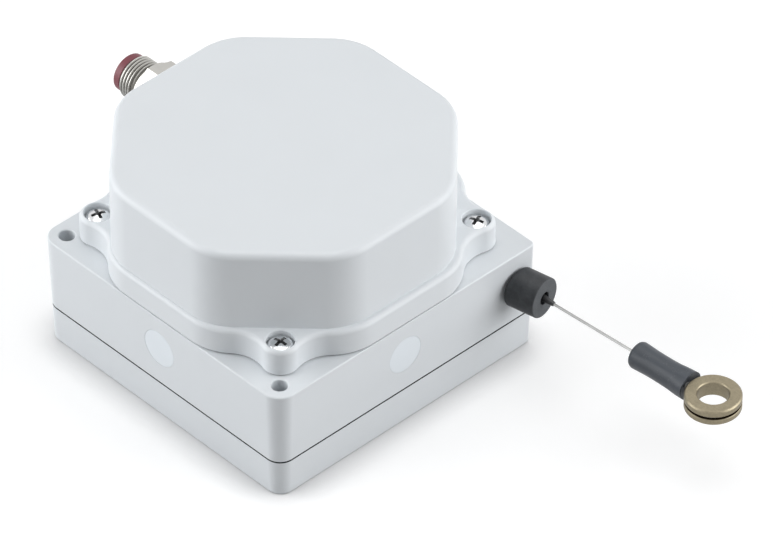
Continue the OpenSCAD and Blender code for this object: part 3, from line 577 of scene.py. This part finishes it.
def rounded(profile, radii, n=5):
    """A profile with its corners rounded: radii holds one radius for each point."""
    out = []
    count = len(profile)
    for i, (p, r) in enumerate(zip(profile, radii)):
        if r <= 0:
            out.append(p)
            continue
        p = Vector(p)
        before, after = Vector(profile[i - 1]) - p, Vector(profile[(i + 1) % count]) - p
        u, v = before.normalized(), after.normalized()
        half = acos(max(-1, min(1, u.dot(v)))) / 2
        reach = min(r / tan(half), before.length * 0.49, after.length * 0.49)
        start, end = p + u * reach, p + v * reach
        centre = p + (u + v).normalized() * (reach / cos(half))
        a, b = start - centre, end - centre
        sweep = a.angle_signed(b)
        for k in range(n + 1):
            out.append(tuple(centre + Matrix.Rotation(-sweep * k / n, 2) @ a))
    return out


# ---- meshes ----
def linked(name, data):
    """A new object in the scene."""
    made = bpy.data.objects.new(name, data)
    bpy.context.scene.collection.objects.link(made)
    return made


def new_piece(name, mesh, slot, body, nodes=(), smooth=30):
    """Links a mesh as a piece: finish, smooth faces with sharp edges, the body it rides on."""
    piece = linked(name, mesh)
    tidy(piece, smooth)
    piece.data.materials.clear()
    piece.data.materials.append(finish(slot))
    if body:
        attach(piece, body)
    if nodes:
        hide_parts(*nodes)
    return piece


def tidy(piece, smooth=30):
    """Outward faces, smooth shading, and normals that follow the large faces."""
    bm = bmesh.new()
    bm.from_mesh(piece.data)
    bmesh.ops.remove_doubles(bm, verts=bm.verts, dist=1e-7)
    bmesh.ops.dissolve_degenerate(bm, edges=bm.edges, dist=1e-7)
    bmesh.ops.recalc_face_normals(bm, faces=bm.faces)
    bm.to_mesh(piece.data)
    bm.free()
    piece.data.shade_smooth()
    piece.data.set_sharp_from_angle(angle=radians(smooth))
    even = piece.modifiers.new("even normals", "WEIGHTED_NORMAL")
    even.keep_sharp = True
    even.weight = 100
    apply_modifiers(piece)


def apply_modifiers(piece):
    """Makes a piece's modifiers part of its mesh."""
    bpy.context.view_layer.update()
    shaped = piece.evaluated_get(bpy.context.evaluated_depsgraph_get())
    mesh = bpy.data.meshes.new_from_object(shaped)
    piece.modifiers.clear()
    old = piece.data
    piece.data = mesh
    bpy.data.meshes.remove(old)


def mesh_of(name, points, faces):
    """A mesh from points and faces."""
    mesh = bpy.data.meshes.new(name)
    mesh.from_pydata(points, [], faces)
    return mesh


def loft(name, levels):
    """A closed skin through a stack of outlines: [(z, outline), ...]."""
    n, m = len(levels[0][1]), len(levels)
    points = [(x, y, z) for z, outline in levels for x, y in outline]
    faces = [tuple(range(n))[::-1], tuple(range((m - 1) * n, m * n))]
    faces += [(k * n + i, k * n + (i + 1) % n, (k + 1) * n + (i + 1) % n, (k + 1) * n + i)
              for k in range(m - 1) for i in range(n)]
    return mesh_of(name, points, faces)


def revolve(name, profile, steps=64, place=Matrix.Identity(4)):
    """A closed turned form: profile of (radius, height) points round Z, then moved to its place."""
    points, rows, faces = [], [], []
    for r, z in profile:
        if abs(r) < 1e-9:
            rows.append([len(points)] * steps)
            points.append((0, 0, z))
        else:
            rows.append([len(points) + k for k in range(steps)])
            points += [(r * cos(2 * pi * k / steps), r * sin(2 * pi * k / steps), z) for k in range(steps)]
    for a, b in zip(rows, rows[1:] + rows[:1]):
        if a[0] == a[1] and b[0] == b[1]:
            continue
        for k in range(steps):
            j = (k + 1) % steps
            face = (a[k], a[j], b[j], b[k])
            faces.append(tuple(dict.fromkeys(face)))
    mesh = mesh_of(name, points, faces)
    mesh.transform(place)
    return mesh


def across(direction):
    """A level direction square to another."""
    level = Vector((0, 0, 1)).cross(direction)
    return level.normalized() if level.length > 1e-6 else Vector((1, 0, 0))


def along(origin, direction):
    """A place whose +Z runs along a direction, with +X kept level."""
    z = Vector(direction).normalized()
    x = across(z)
    m = Matrix((x, z.cross(x), z)).transposed().to_4x4()
    m.translation = Vector(origin)
    return m


def hole(r, bottom, top, mouth=0.0, flare=1.0):
    """Profile of a round cutter from bottom to top, with a rounded mouth at the top."""
    over = top + flare * MM
    if not mouth:
        return [(0, bottom), (r, bottom), (r, over), (0, over)]
    lip = [(r + mouth * (1 - cos(t)), top - mouth + mouth * sin(t))
           for t in (radians(a) for a in range(0, 80, 13))]
    return [(0, bottom), (r, bottom)] + lip + [(lip[-1][0] + flare * MM * 0.2, over), (0, over)]


def drills(places, profile, steps):
    """Upright round cutters of one profile at several places."""
    return [revolve("drill", profile, steps, Matrix.Translation((x, y, 0))) for x, y in places]


def cut(mesh, cutters):
    """Takes the cutters' meshes out of a mesh, exactly."""
    body = linked("work", mesh)
    tools = []
    for cutter in cutters:
        bm = bmesh.new()
        bm.from_mesh(cutter)
        bmesh.ops.recalc_face_normals(bm, faces=bm.faces)
        bm.to_mesh(cutter)
        bm.free()
        tools.append(linked("tool", cutter))
        step = body.modifiers.new("cut", "BOOLEAN")
        step.operation = "DIFFERENCE"
        step.solver = "EXACT"
        step.object = tools[-1]
    apply_modifiers(body)
    result = body.data
    for o in tools:
        m = o.data
        bpy.data.objects.remove(o)
        bpy.data.meshes.remove(m)
    bpy.data.objects.remove(body)
    return result


def four_corners(distance, which=range(4)):
    """Places at a distance from both middle planes, anticlockwise from the corner by the wire outlet."""
    signs = ((1, 1), (-1, 1), (-1, -1), (1, -1))
    return [(signs[i][0] * distance, signs[i][1] * distance) for i in which]


def sides_along(path):
    """At each point of a path, two directions square to it and to each other, without twist."""
    last = len(path) - 1
    side = across(path[1] - path[0])
    for i in range(last + 1):
        ahead = (path[min(i + 1, last)] - path[max(i - 1, 0)]).normalized()
        side = (side - ahead * side.dot(ahead)).normalized()
        yield side, ahead.cross(side)


def tube(name, path, radius, sides):
    """A round tube along a path of points."""
    turns = [2 * pi * k / sides for k in range(sides)]
    points = [p + (u * cos(t) + v * sin(t)) * radius for p, (u, v) in zip(path, sides_along(path))
              for t in turns]
    faces = []
    for i in range(len(path) - 1):
        for k in range(sides):
            a, b = i * sides + k, i * sides + (k + 1) % sides
            faces.append((a, b, b + sides, a + sides))
    faces.append(tuple(range(sides))[::-1])
    faces.append(tuple(range((len(path) - 1) * sides, len(path) * sides)))
    return mesh_of(name, points, faces)


def rope(name, path, radius, lay, strands):
    """Stranded wire along a path: a core and strands that wind round it."""
    strand = radius * 0.34
    run = [0.0]
    for a, b in zip(path, path[1:]):
        run.append(run[-1] + (b - a).length)
    frames = list(sides_along(path))
    meshes = [tube(name, path, radius * 0.5, 8)]
    for s in range(strands):
        turns = [2 * pi * (d / lay + s / strands) for d in run]
        line = [p + (u * cos(t) + v * sin(t)) * (radius - strand)
                for p, t, (u, v) in zip(path, turns, frames)]
        meshes.append(tube(name, line, strand, 8))
    return joined(name, meshes)


def joined(name, meshes):
    """Several meshes as one."""
    bm = bmesh.new()
    for m in meshes:
        bm.from_mesh(m)
        bpy.data.meshes.remove(m)
    mesh = bpy.data.meshes.new(name)
    bm.to_mesh(mesh)
    bm.free()
    return mesh


def straight(start, end, step):
    """Points on a line, about a step apart."""
    start, end = Vector(start), Vector(end)
    n = max(2, int((end - start).length / step))
    return [start.lerp(end, i / n) for i in range(n + 1)]


def hexagon(flat, limit, n=72):
    """A hexagon whose corners are cut to a circle."""
    out = []
    for t in (2 * pi * k / n for k in range(n)):
        from_flat = (t + pi / 6) % (pi / 3) - pi / 6
        reach = min(flat / cos(from_flat), limit)
        out.append((reach * cos(t), reach * sin(t)))
    return out


def quarter_round(n=4):
    """Steps (inset, rise) of a quarter circle that turns in from a wall to a flat top."""
    return [(1 - cos(radians(90 * i / n)), sin(radians(90 * i / n))) for i in range(n + 1)]


def on_wire(x):
    """The point of the wire's axis at a given x."""
    return EYE_CENTRE + PULL * ((x - EYE_CENTRE.x) / PULL.x)


# ---- the pieces ----
class ENCODER_OT_housing(bpy.types.Operator):
    """Bottom shell, main housing, the round plugs in its sides and the gasket in its seam"""

    bl_idname = "encoder.housing"
    bl_label = "Housing"

    def execute(self, context):
        # outward direction and place along the wall of each plug
        plugs = ((Vector((1, 0, 0)), Vector((0, PLUGS[1].y - PLUG_R, PLUG_Z))),
                 (Vector((0, -1, 0)), Vector((PLUGS[0].x + PLUG_R, 0, PLUG_Z))))
        wall = HALF - (TOP - PLUG_Z) * LEAN
        self.shell(settings().housing)
        self.block(settings().housing, plugs, wall)
        self.plugs(plugs, wall)
        self.gasket(settings().housing.gasket)
        return {"FINISHED"}

    def slab(self, low, high, low_round, high_round, under_flange=1.0):
        """Outlines of a solid block with rounded lower and upper edges."""
        lower = [(low + low_round * (1 - up), leaning(low, low_round * inn)) for inn, up in quarter_round()]
        upper = [(high - high_round * (1 - up), leaning(high, high_round * inn, under_flange))
                 for inn, up in quarter_round()]
        return lower[::-1] + upper

    def shell(self, h):
        """Bottom shell with its spring well, mounting bores and countersunk screw holes."""
        low, high = SHELL[0].z, SHELL[1].z
        under, over = low - MM, high + MM
        wide, narrow, step = h.countersink / 2, h.screw_hole / 2, 0.6 * MM
        sunk = [(0, under), (wide, under), (wide, low + step), (narrow, low + step + wide - narrow),
                (narrow, over), (0, over)]
        cutters = drills(four_corners(h.hole_place, (1, 2, 3)), hole(h.hole / 2, under, high), 32)
        cutters += drills(four_corners(h.screw_place), sunk, 32)
        cutters += drills([(0, 0)], hole(h.well, low + h.web, high), 96)
        mesh = loft("bottom shell", self.slab(low, high, h.edge, h.seam_edge))
        new_piece("bottom_shell", cut(mesh, cutters), "housing", "housing", ["base_shell"])

    def block(self, h, plugs, wall):
        """Main housing with its drum chamber, bores, and seats for the plugs and the outlet bush."""
        low, high = HOUSE[0].z, HOUSE[1].z
        under = low - MM
        cutters = drills(four_corners(h.hole_place, (1, 2, 3)), hole(h.hole / 2, under, high, 0.35 * MM), 40)
        cutters += drills([(0, 0)], hole(h.chamber, low + h.web, high), 128)
        cutters += drills(four_corners(settings().cover.ear_place), hole(1.5 * MM, under, high), 24)
        pocket = hole(PLUG_R + 0.03 * MM, HALF - 1.6 * MM, wall, 0.05 * MM)
        cutters += [revolve("pocket", pocket, 64, along(aside, outward)) for outward, aside in plugs]
        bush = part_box("outlet_bush")
        outlet = (bush[0] + bush[1]) / 2
        seat = hole(bush[1].z - outlet.z + 0.03 * MM, bush[1].x - 1.05 * MM, HALF)
        cutters.append(revolve("seat", seat, 40, along((0, outlet.y, outlet.z), (1, 0, 0))))
        mesh = loft("main housing", self.slab(low, high, h.seam_edge, h.edge, 0.2))
        new_piece("housing_block", cut(mesh, cutters), "housing", "housing", ["main_housing"])

    def plugs(self, plugs, wall):
        """Round plugs that lie flush in the leaning walls."""
        profile = rounded([(0, -1.2 * MM), (PLUG_R, -1.2 * MM), (PLUG_R, -0.01 * MM), (0, -0.01 * MM)],
                          [0, 0, 0.08 * MM, 0])
        faces = [revolve("plug", profile, 64, along(outward * wall + aside, outward - Vector((0, 0, LEAN))))
                 for outward, aside in plugs]
        new_piece("plug_faces", joined("plug faces", faces), "plug", "housing", ["side_plugs"])

    def gasket(self, depth):
        """A band in the seam, almost flush with the sides."""
        low, high = SHELL[1].z + SLIT / 2, HOUSE[0].z - SLIT / 2
        ring = [(low, depth), (high, depth), (high, 3 * MM), (low, 3 * MM)]
        points = [(x, y, z) for z, inset in ring for x, y in leaning(z, inset)]
        n = len(points) // 4
        faces = [(k * n + i, k * n + (i + 1) % n, (k + 1) % 4 * n + (i + 1) % n, (k + 1) % 4 * n + i)
                 for k in range(4) for i in range(n)]
        new_piece("seam_gasket", mesh_of("seam gasket", points, faces), "gasket", "housing", ["base_gasket"])


class ENCODER_OT_cover(bpy.types.Operator):
    """Cover: flange with four ears, ledge and octagonal dome"""

    bl_idname = "encoder.cover"
    bl_label = "Cover"

    def execute(self, context):
        c = settings().cover
        low, high = COVER[0].z, COVER[1].z
        flange = TOP + c.flange
        lower_edge, foot = 0.15 * MM, 0.1 * MM
        levels = [(high - c.wall, dome_outline(c.wall + c.draft)), (low, dome_outline(c.wall)),
                  (low, flange_outline(lower_edge)), (low + lower_edge, flange_outline())]
        levels += [(flange - c.rim * (1 - up), flange_outline(c.rim * inn)) for inn, up in quarter_round(8)]
        levels += [(flange, dome_outline(-foot)), (flange + foot * 0.3, dome_outline(-foot * 0.3)),
                   (flange + foot, dome_outline())]
        levels += [(high - c.dome_edge * (1 - up), dome_outline(c.draft + c.dome_edge * inn))
                   for inn, up in quarter_round(10)]
        mesh = loft("cover", levels)
        ears = four_corners(c.ear_place)
        seat = flange - c.bore_depth
        cutters = drills(ears, hole(c.bore / 2, seat, flange, 0.35 * MM, 0.5), 48)
        cutters += drills(ears, hole(1.7 * MM, low - MM, seat), 24)
        # the connector's hole, from inside the dome to well outside its wall
        through = [(0, 30 * MM), (5 * MM, 30 * MM), (5 * MM, 60 * MM), (0, 60 * MM)]
        cutters.append(revolve("hole", through, 48, along(CONNECTOR_AXIS, (-1, 0, 0))))
        new_piece("cover_skin", cut(mesh, cutters), "housing", "housing", ["cover"])
        return {"FINISHED"}


class ENCODER_OT_screws(bpy.types.Operator):
    """Cross-recess screws in the cover's ears"""

    bl_idname = "encoder.screws"
    bl_label = "Cover screws"

    def execute(self, context):
        c, s = settings().cover, settings().screws
        seat = TOP + c.flange - c.bore_depth
        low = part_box("cover_screws")[0].z
        r, h = s.head / 2, s.head_height
        shank, edge, skirt = s.shank / 2, 0.12 * MM, seat + h * 0.36
        profile = [(0, low), (shank - 0.3 * MM, low), (shank, low + 0.4 * MM), (shank, seat),
                   (r - edge, seat), (r, seat + edge), (r, skirt)]
        # crowned head
        profile += [(r * cos(t), skirt + h * 0.64 * sin(t)) for t in (radians(a) for a in range(9, 90, 9))]
        profile.append((0, seat + h))
        # cross recess: two slots that narrow downwards, and a cone between them
        w, t = s.recess / 2, s.recess * 0.115
        slot = [(seat + h * 0.32, w * 0.45, t * 0.7), (seat + h * 0.72, w * 0.93, t), (seat + h + 0.3 * MM, w, t)]
        slot = [(z, [(-x, -y), (x, -y), (x, y), (-x, y)]) for z, x, y in slot]
        over = seat + h + 0.2 * MM
        heads = []
        for (x, y), turn in zip(four_corners(c.ear_place), (20, 52, 71, 8)):
            place = Matrix.Translation((x, y, 0)) @ Matrix.Rotation(radians(turn), 4, "Z")
            cutters = [loft("slot", slot), loft("slot", slot),
                       revolve("cone", [(0, seat + h * 0.2), (0.9 * MM, over), (0, over)], 16, place)]
            for cutter, a in zip(cutters, (0, 90)):
                cutter.transform(place @ Matrix.Rotation(radians(a), 4, "Z"))
            heads.append(cut(revolve("head", profile, 40, place), cutters))
        new_piece("cover_screw_heads", joined("cover screws", heads), "screw_steel", "housing",
                  ["cover_screws"], 32)
        return {"FINISHED"}


class ENCODER_OT_wire(bpy.types.Operator):
    """Stranded wire: the run from the drum, the tail beyond the bumper and the loop in the eyelet"""

    bl_idname = "encoder.wire"
    bl_label = "Wire"

    def execute(self, context):
        w = settings().wire
        r, step = w.wire / 2, 0.3 * MM
        run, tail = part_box("draw_wire"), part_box("wire_tail")
        start, meet, end = on_wire(run[0].x), on_wire(tail[0].x), on_wire(tail[1].x)
        mesh = tube("wire run", straight(start, meet, 0.5 * MM), r, 12)
        piece = new_piece("wire_run", mesh, "wire_steel", None, ["draw_wire"])
        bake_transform(piece)
        mesh = rope("wire tail", straight(meet, end, step), r, w.lay, w.strands)
        new_piece("wire_strands", mesh, "wire_steel", "wire_end", ["wire_tail"], 60)

        # round the eyelet and back to the ferrule
        ring = EYE_R - w.groove + r + 2 * SLIT
        touch = acos(ring / (EYE_CENTRE - end).length)
        turns = [touch + (2 * pi - 2 * touch) * k / 60 for k in range(61)]
        path = [EYE_CENTRE - Matrix.Rotation(t, 3, "Z") @ PULL * ring for t in turns]
        first = straight(end.lerp(path[0], 0.04), path[0], step)[:-1]
        last = straight(path[-1], end.lerp(path[-1], 0.04), step)[1:]
        mesh = rope("wire loop", first + path + last, r, w.lay, w.strands)
        new_piece("wire_loop_strands", mesh, "wire_steel", "wire_end", ["wire_loop"], 60)
        return {"FINISHED"}


class ENCODER_OT_bumper(bpy.types.Operator):
    """Rubber bumper and the crimp in it"""

    bl_idname = "encoder.bumper"
    bl_label = "Bumper"

    def execute(self, context):
        b, w = settings().bumper, settings().wire
        axis = Vector((cos(b.lean), sin(b.lean), 0))
        r, bore, narrow = b.diameter / 2, b.bore / 2, b.hole / 2
        back = (BUMPER[0] + BUMPER[1]) / 2 - axis * b.length / 2
        front = b.length + b.reach
        profile = [(narrow, 0), (r, 0), (r, front), (bore, front), (bore, b.back), (narrow, b.back)]
        profile = rounded(profile, [t * MM for t in (0.2, 0.6, 0.4, 0.25, 0.2, 0.2)])
        mesh = revolve("bumper", profile, 96, along(back, axis))
        # the back bends most of the way onto the housing's side
        follow = 0.6
        for v in mesh.vertices:
            behind = (v.co - back).dot(axis)
            if behind < b.back / 2:
                side = HALF - (TOP - v.co.z) * LEAN + 0.03 * MM
                v.co -= axis * ((v.co - axis * behind).x - side) / axis.x * follow
        new_piece("bumper_body", mesh, "rubber", "wire_end", ["wire_bumper"])

        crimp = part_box("wire_crimp")
        start = on_wire(crimp[0].x)
        length = (crimp[1].x - crimp[0].x) / PULL.x
        k, c, collar = w.wire / 2, w.crimp / 2, w.collar / 2
        profile = [(k, SLIT), (collar - 0.05 * MM, SLIT), (collar, 0.1 * MM), (collar, 1 * MM),
                   (collar - 0.1 * MM, 1.1 * MM), (c, 1.15 * MM), (c, length - 4 * MM),
                   (c * 0.9, length - 3 * MM), (k + 0.3 * MM, length - 0.5 * MM),
                   (k + 0.2 * MM, length - 0.1 * MM), (k + 0.1 * MM, length), (k, length)]
        mesh = revolve("crimp", profile, 40, along(start, PULL))
        new_piece("crimp_body", mesh, "crimp_black", "wire_end", ["wire_crimp"])
        return {"FINISHED"}


class ENCODER_OT_sleeve(bpy.types.Operator):
    """Shrink sleeve between the wire and the eyelet"""

    bl_idname = "encoder.sleeve"
    bl_label = "Shrink sleeve"

    def execute(self, context):
        w = settings().wire
        r, length, steps = w.sleeve / 2, w.sleeve_length, 44
        # the sleeve stands askew in its box, which starts with its edge
        start = on_wire(SLEEVE[0].x + r * PULL.y)
        bore = w.wire / 2 + 0.1 * MM
        # profile of (radius, distance from the wire's side)
        nose = [(r - x * MM, z * MM) for x, z in ((2.65, 0.12), (1.35, 0), (0.65, 0.05), (0.25, 0.3), (0, 0.9))]
        nose.insert(0, (bore, 0.35 * MM))
        outer = []
        for t in (i / steps for i in range(steps + 1)):
            draw_in = w.waist * sin(pi * min(1, t / 0.9)) ** 2
            flare = 0.22 * MM * max(0, t - 0.75) / 0.25
            outer.append((r - draw_in + flare, length * t))
        body = [p for p in outer if p[1] > 1.2 * MM]
        mouth = [(r - x * MM, length - z * MM) for x, z in ((0.1, 0.05), (0.6, 0.15), (1.55, 0.7), (2.95, 1))]
        pocket = [(0.7 * MM, length - 1.5 * MM), (1.65 * MM, length - 1.58 * MM), (1.65 * MM, 1.98 * MM),
                  (bore, 1.98 * MM)]
        mesh = revolve("sleeve", nose + body + mouth + pocket, 64)
        # shrunk tube is never quite round: shallow folds that fade towards the wire's end
        for v in mesh.vertices:
            radial = hypot(v.co.x, v.co.y)
            if radial > 3.2 * MM:
                t = v.co.z / length
                around = atan2(v.co.y, v.co.x)
                fold = (0.05 * sin(3 * around + 5 * t) + 0.035 * sin(5 * around - 7 * t + 1)
                        + 0.03 * sin(14 * t + 2 * around))
                k = 1 + fold * MM * (0.4 + t) / radial
                v.co.x *= k
                v.co.y *= k
        mesh.transform(along(start, PULL))
        new_piece("sleeve_tube", mesh, "sleeve", "wire_end", ["shrink_sleeve"], 50)
        return {"FINISHED"}


class ENCODER_OT_eyelet(bpy.types.Operator):
    """Turned brass eyelet with its groove"""

    bl_idname = "encoder.eyelet"
    bl_label = "Eyelet"

    def execute(self, context):
        w = settings().wire
        r, h = EYE_R, (EYELET[1].z - EYELET[0].z) / 2
        g, bore, deep = w.groove_width / 2, w.eye_hole / 2, r - w.groove
        rim, lip, mouth = 0.4 * MM, 0.12 * MM, 0.3 * MM
        # upper half from the groove to the bore, and its mirror image
        upper = [(deep, g), (r - lip, g), (r, g + lip), (r, h - rim), (r - rim, h), (bore + mouth, h),
                 (bore, h - mouth)]
        profile = [(x, -z) for x, z in reversed(upper)] + upper
        profile = rounded(profile, [0.1 * MM] * len(profile), 2)
        mesh = revolve("eyelet", profile, 128, Matrix.Translation(EYE_CENTRE))
        new_piece("eyelet_ring", mesh, "eyelet_brass", "wire_end", ["eyelet"])
        return {"FINISHED"}


class ENCODER_OT_connector(bpy.types.Operator):
    """Connector shell with hexagon and thread, its seal and its dust cap"""

    bl_idname = "encoder.connector"
    bl_label = "Connector"

    def execute(self, context):
        c = settings().connector
        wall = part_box("connector_seal")[1].x + SLIT
        place = along(CONNECTOR_AXIS + Vector((wall, 0, 0)), (-1, 0, 0))
        self.shell(c, place, wall - CONNECTOR[1].x, wall - CONNECTOR[0].x)
        self.seal(c, place)
        self.cap(c, place, wall)
        return {"FINISHED"}

    def shell(self, c, place, rear, end):
        """Turned body with a plain neck behind the thread, and a hexagon with its corners turned down."""
        crest, bore, flat = c.thread / 2, c.socket / 2, c.across / 2
        root = crest - 0.6 * MM
        neck, flange, lip = root - 0.2 * MM, 7.25 * MM, 0.25 * MM
        profile = [(bore, rear), (4.95 * MM, rear), (4.95 * MM, c.seal), (6.9 * MM, c.seal),
                   (flange, c.seal + 0.3 * MM), (flange, c.seal + 1.2 * MM), (neck, c.seal + 1.2 * MM),
                   (neck, c.hex + 1.4 * MM), (root, c.hex + 1.6 * MM), (root, end - lip), (root - lip, end),
                   (bore + lip, end), (bore, end - lip)]
        corner = flat / cos(pi / 6)
        turned = [(c.seal + 1 * MM, flat), (c.seal + 1.5 * MM, corner), (c.hex - 0.7 * MM, corner),
                  (c.hex, flat)]
        nut = loft("hexagon", [(z, hexagon(flat, limit)) for z, limit in turned])
        nut.transform(place @ Matrix.Rotation(radians(45), 4, "Z"))
        inside = bore + 0.3 * MM
        nut = cut(nut, [revolve("bore", [(0, -1), (inside, -1), (inside, 1), (0, 1)], 48, place)])
        ridge = self.thread(place, root - 0.05 * MM, crest, c.pitch, c.hex + 1.5 * MM, end + 0.1 * MM)
        mesh = joined("connector", [revolve("body", profile, 72, place), nut, ridge])
        new_piece("connector_body", mesh, "nickel", "housing", ["connector_shell"], 35)

    def seal(self, c, place):
        """Ring between the wall and the hexagon."""
        inner, outer = 5 * MM, 6.9 * MM
        profile = [(inner, SLIT), (outer, SLIT), (outer, c.seal - SLIT), (inner, c.seal - SLIT)]
        profile = rounded(profile, [0, 0.3 * MM, 0.3 * MM, 0])
        new_piece("seal_ring", revolve("seal", profile, 64, place), "gasket", "housing", ["connector_seal"])

    def cap(self, c, place, wall):
        """Dust cap: a hollow plug in the socket and a head with a shallow dish."""
        r, plug, bore = (CAP[1].z - CAP[0].z) / 2, c.socket / 2 - 0.05 * MM, c.socket / 2 - 1 * MM
        far, near, rim = wall - CAP[0].x, wall - CAP[1].x, wall - CONNECTOR[0].x + SLIT
        roof, dish = near + 3.9 * MM, far - 0.35 * MM
        profile = [(0, roof), (bore, roof), (bore, near), (plug, near), (plug, rim), (r, rim), (r, far),
                   (r - 1 * MM, far), (r - 1.2 * MM, dish), (0, dish)]
        profile = rounded(profile, [t * MM for t in (0, 0.2, 0.2, 0.2, 0.1, 0.25, 0.45, 0.15, 0.15, 0)])
        new_piece("cap_body", revolve("cap", profile, 72, place), "cap_red", "cap", ["connector_cap"])

    def thread(self, place, root, crest, pitch, start, end):
        """A closed helical ridge that fades in and out."""
        sides, run_in = 48, 48 * 0.3
        n = int((end - start - pitch) / pitch * sides)
        points, faces = [], []
        for i in range(n + 1):
            t = 2 * pi * i / sides
            z = start + pitch / 2 + pitch * i / sides
            top = root + (crest - root) * max(0.02, min(1, i / run_in, (n - i) / run_in))
            for r, dz in ((root, -0.42), (top, -0.09), (top, 0.09), (root, 0.42)):
                points.append((r * cos(t), r * sin(t), z + dz * pitch))
        for i in range(n):
            a, b = i * 4, i * 4 + 4
            faces += [(a + k, a + (k + 1) % 4, b + (k + 1) % 4, b + k) for k in range(4)]
        faces += [(0, 1, 2, 3), tuple(n * 4 + k for k in (3, 2, 1, 0))]
        mesh = mesh_of("thread", points, faces)
        mesh.transform(place)
        return mesh


class ENCODER_OT_inner_parts(bpy.types.Operator):
    """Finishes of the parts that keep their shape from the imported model"""

    bl_idname = "encoder.inner_parts"
    bl_label = "Inner parts"

    def execute(self, context):
        slots = {p["node"]: p["material_slot"] for p in frame["record"]["subparts"]}
        slots["cover_gasket"] = "cover_gasket"
        for node, part in frame["nodes"].items():
            part.data.materials.clear()
            part.data.materials.append(finish(slots[node]))
            part.data.shade_smooth()
            part.data.set_sharp_from_angle(angle=radians(30))
        return {"FINISHED"}


class ENCODER_OT_stage(bpy.types.Operator):
    """Floor, white surroundings, lamps and camera"""

    bl_idname = "encoder.stage"
    bl_label = "Studio"

    def execute(self, context):
        scene = context.scene
        self.floor()
        self.world(scene)
        for name, direction, width, height, watts, tint in LAMPS:
            data = bpy.data.lights.new(name, "AREA")
            data.shape = "RECTANGLE"
            data.size, data.size_y = width, height
            data.energy = watts
            data.color = tint
            at = Vector(direction).normalized() * LAMP_DISTANCE
            self.aim(linked(name, data), at + Vector((0, 0, LAMP_RISE)), -at)
        data = bpy.data.cameras.new("camera")
        data.lens, data.sensor_width = LENS, SENSOR
        data.clip_start, data.clip_end = 0.1, 50
        scene.camera = linked("camera", data)
        level = cos(VIEW_LIFT)
        away = Vector((level * cos(VIEW_TURN), level * sin(VIEW_TURN), sin(VIEW_LIFT)))
        self.aim(scene.camera, LOOK_AT + away * VIEW_DISTANCE, -away)
        scene.view_settings.view_transform = "Standard"
        return {"FINISHED"}

    def aim(self, item, place, direction):
        """Puts a lamp or camera in its place and turns it along a direction."""
        item.location = place
        item.rotation_euler = direction.to_track_quat("-Z", "Y").to_euler()

    def floor(self):
        """Pale floor that is white where it is seen, apart from the object's shadow, partly cast and partly
        painted.
        """
        corners = four_corners(FLOOR_HALF, (2, 3, 0, 1))
        mesh = mesh_of("floor", [(x, y, FLOOR_Z) for x, y in corners], [(0, 1, 2, 3)])
        s = Shade("Floor", (0.5, 0.5, 0.5), 0.9)
        camera, glossy, through = (s.node("LightPath", output=i) for i in (0, 3, 6))
        seen = s.maths("MAXIMUM", s.maths("MAXIMUM", camera, glossy), through)
        pale = s.node("BsdfDiffuse", {"Color": (0.74, 0.74, 0.74, 1)})
        # the glow that makes the floor white fades where the object stands close over it, which paints a contact
        # shadow, and makes up for the lamps' light far from them
        outside_painted_shadow = s.between(s.node("AmbientOcclusion", {"Distance": 10 * MM}, output=1), 0.45, 0.97)
        far = s.between(s.off((0, 0, 0)), 170, 600)
        glow = s.node("Emission", {"Color": outside_painted_shadow * 0.38 + far * 0.65, "Strength": 1})
        white = s.node("AddShader", {0: pale, 1: glow})
        both = s.node("MixShader", {0: seen, 1: Value(s, s.main.outputs[0]), 2: white})
        out = next(n for n in s.nodes if n.type == "OUTPUT_MATERIAL")
        s.links.new(both.socket, out.inputs["Surface"])
        mesh.materials.append(s.material)
        linked("floor", mesh)

    def world(self, scene):
        """Surroundings that look white and light the object only faintly."""
        world = bpy.data.worlds.new("surroundings")
        scene.world = world
        world.use_nodes = True
        nodes, links = world.node_tree.nodes, world.node_tree.links
        back = nodes["Background"]
        back.inputs["Color"].default_value = (1, 1, 1, 1)
        path = nodes.new("ShaderNodeLightPath")
        level = None
        for ray in ("Is Camera Ray", "Is Glossy Ray", "Is Transmission Ray"):
            most = nodes.new("ShaderNodeMath")
            most.operation = "MAXIMUM"
            most.inputs[1].default_value = 0.1
            links.new(path.outputs[ray], most.inputs[0])
            if level:
                links.new(level, most.inputs[1])
            level = most.outputs[0]
        links.new(level, back.inputs["Strength"])


OPERATORS = (ENCODER_OT_inner_parts, ENCODER_OT_housing, ENCODER_OT_cover, ENCODER_OT_screws, ENCODER_OT_wire,
             ENCODER_OT_bumper, ENCODER_OT_sleeve, ENCODER_OT_eyelet, ENCODER_OT_connector, ENCODER_OT_stage)


class ENCODER_PT_panel(bpy.types.Panel):
    """Lists the pieces that can be made"""

    bl_label = "Draw wire encoder"
    bl_idname = "ENCODER_PT_panel"
    bl_space_type = "VIEW_3D"
    bl_region_type = "UI"
    bl_category = "Encoder"

    def draw(self, context):
        for operator in OPERATORS:
            self.layout.operator(operator.bl_idname)


CLASSES = (HousingSizes, CoverSizes, ScrewSizes, WireSizes, BumperSizes, ConnectorSizes, Finishes,
           EncoderSettings) + OPERATORS + (ENCODER_PT_panel,)


def register():
    for c in CLASSES:
        bpy.utils.register_class(c)
    bpy.types.Scene.encoder = PointerProperty(type=EncoderSettings)


def unregister():
    del bpy.types.Scene.encoder
    for c in reversed(CLASSES):
        bpy.utils.unregister_class(c)


def main():
    register()
    for operator in OPERATORS:
        group, name = operator.bl_idname.split(".")
        getattr(getattr(bpy.ops, group), name)()


if __name__ == "__main__":
    main()
